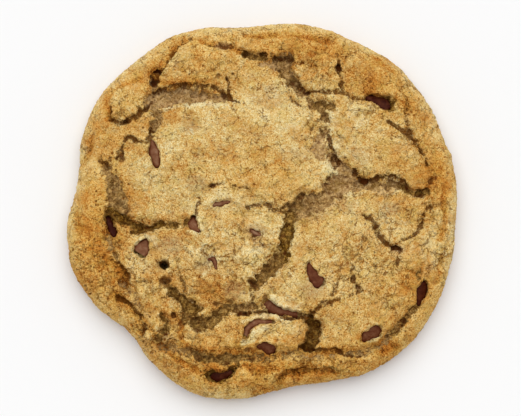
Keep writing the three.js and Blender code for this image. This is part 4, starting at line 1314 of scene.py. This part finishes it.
# ---- Floor, light and camera ----
bpy.ops.object.select_all(action="DESELECT")
bpy.ops.mesh.primitive_plane_add(size=3, location=(0, 0, -0.02 * MM))
floor = bpy.context.object
floor.name = "floor"
floor_paper = bpy.data.materials.new("matt_white_paper")
floor_paper.use_nodes = True
paper = floor_paper.node_tree.nodes["Principled BSDF"]
paper.inputs["Base Color"].default_value = (0.88, 0.88, 0.88, 1)
paper.inputs["Roughness"].default_value = 0.9
paper.inputs["Specular IOR Level"].default_value = 0.2
floor.data.materials.append(floor_paper)

# Large soft panels stand all round, low down, and less light comes from straight overhead
HORIZON_LIGHT = 0.8
OVERHEAD_LIGHT = 0.35
world = bpy.data.worlds.new("studio")
bpy.context.scene.world = world
world.use_nodes = True
sky = world.node_tree
direction = add(sky, "TexCoord", output="Generated")
upward = add(sky, "SeparateXYZ", {0: direction}, output="Z")
brightness = add(sky, "MapRange", span(upward, 0.0, 1.0, HORIZON_LIGHT, OVERHEAD_LIGHT))
sky.links.new(brightness, sky.nodes["Background"].inputs["Strength"])
sky.nodes["Background"].inputs["Color"].default_value = (0.985, 1, 1.025, 1)

bpy.ops.object.light_add(type="SUN", location=(0, 0, 1))
key_light = bpy.context.object
key_light.name = "key_light"
key_light.data.energy = 2.1
key_light.data.color = (1.0, 0.988, 0.968)
key_light.data.angle = math.radians(70)
key_light.rotation_euler = Vector((0.03, -0.42, -1)).to_track_quat("-Z", "Y").to_euler()

LOOK_AT = Vector((-0.38, 0.19, 6.0)) * MM
CAMERA_DISTANCE = 0.6
CAMERA_ELEVATION = math.radians(84)
FOCAL_PIXELS = 2400
IMAGE_WIDTH = 521
SENSOR_WIDTH = 36.0

bpy.ops.object.camera_add()
camera = bpy.context.object
camera.data.sensor_width = SENSOR_WIDTH
camera.data.lens = FOCAL_PIXELS * SENSOR_WIDTH / IMAGE_WIDTH
away = Vector((0, -math.cos(CAMERA_ELEVATION), math.sin(CAMERA_ELEVATION)))
camera.location = LOOK_AT + away * CAMERA_DISTANCE
camera.rotation_euler = (math.pi / 2 - CAMERA_ELEVATION, 0, 0)
bpy.context.scene.camera = camera
bpy.context.scene.view_settings.view_transform = "Standard"
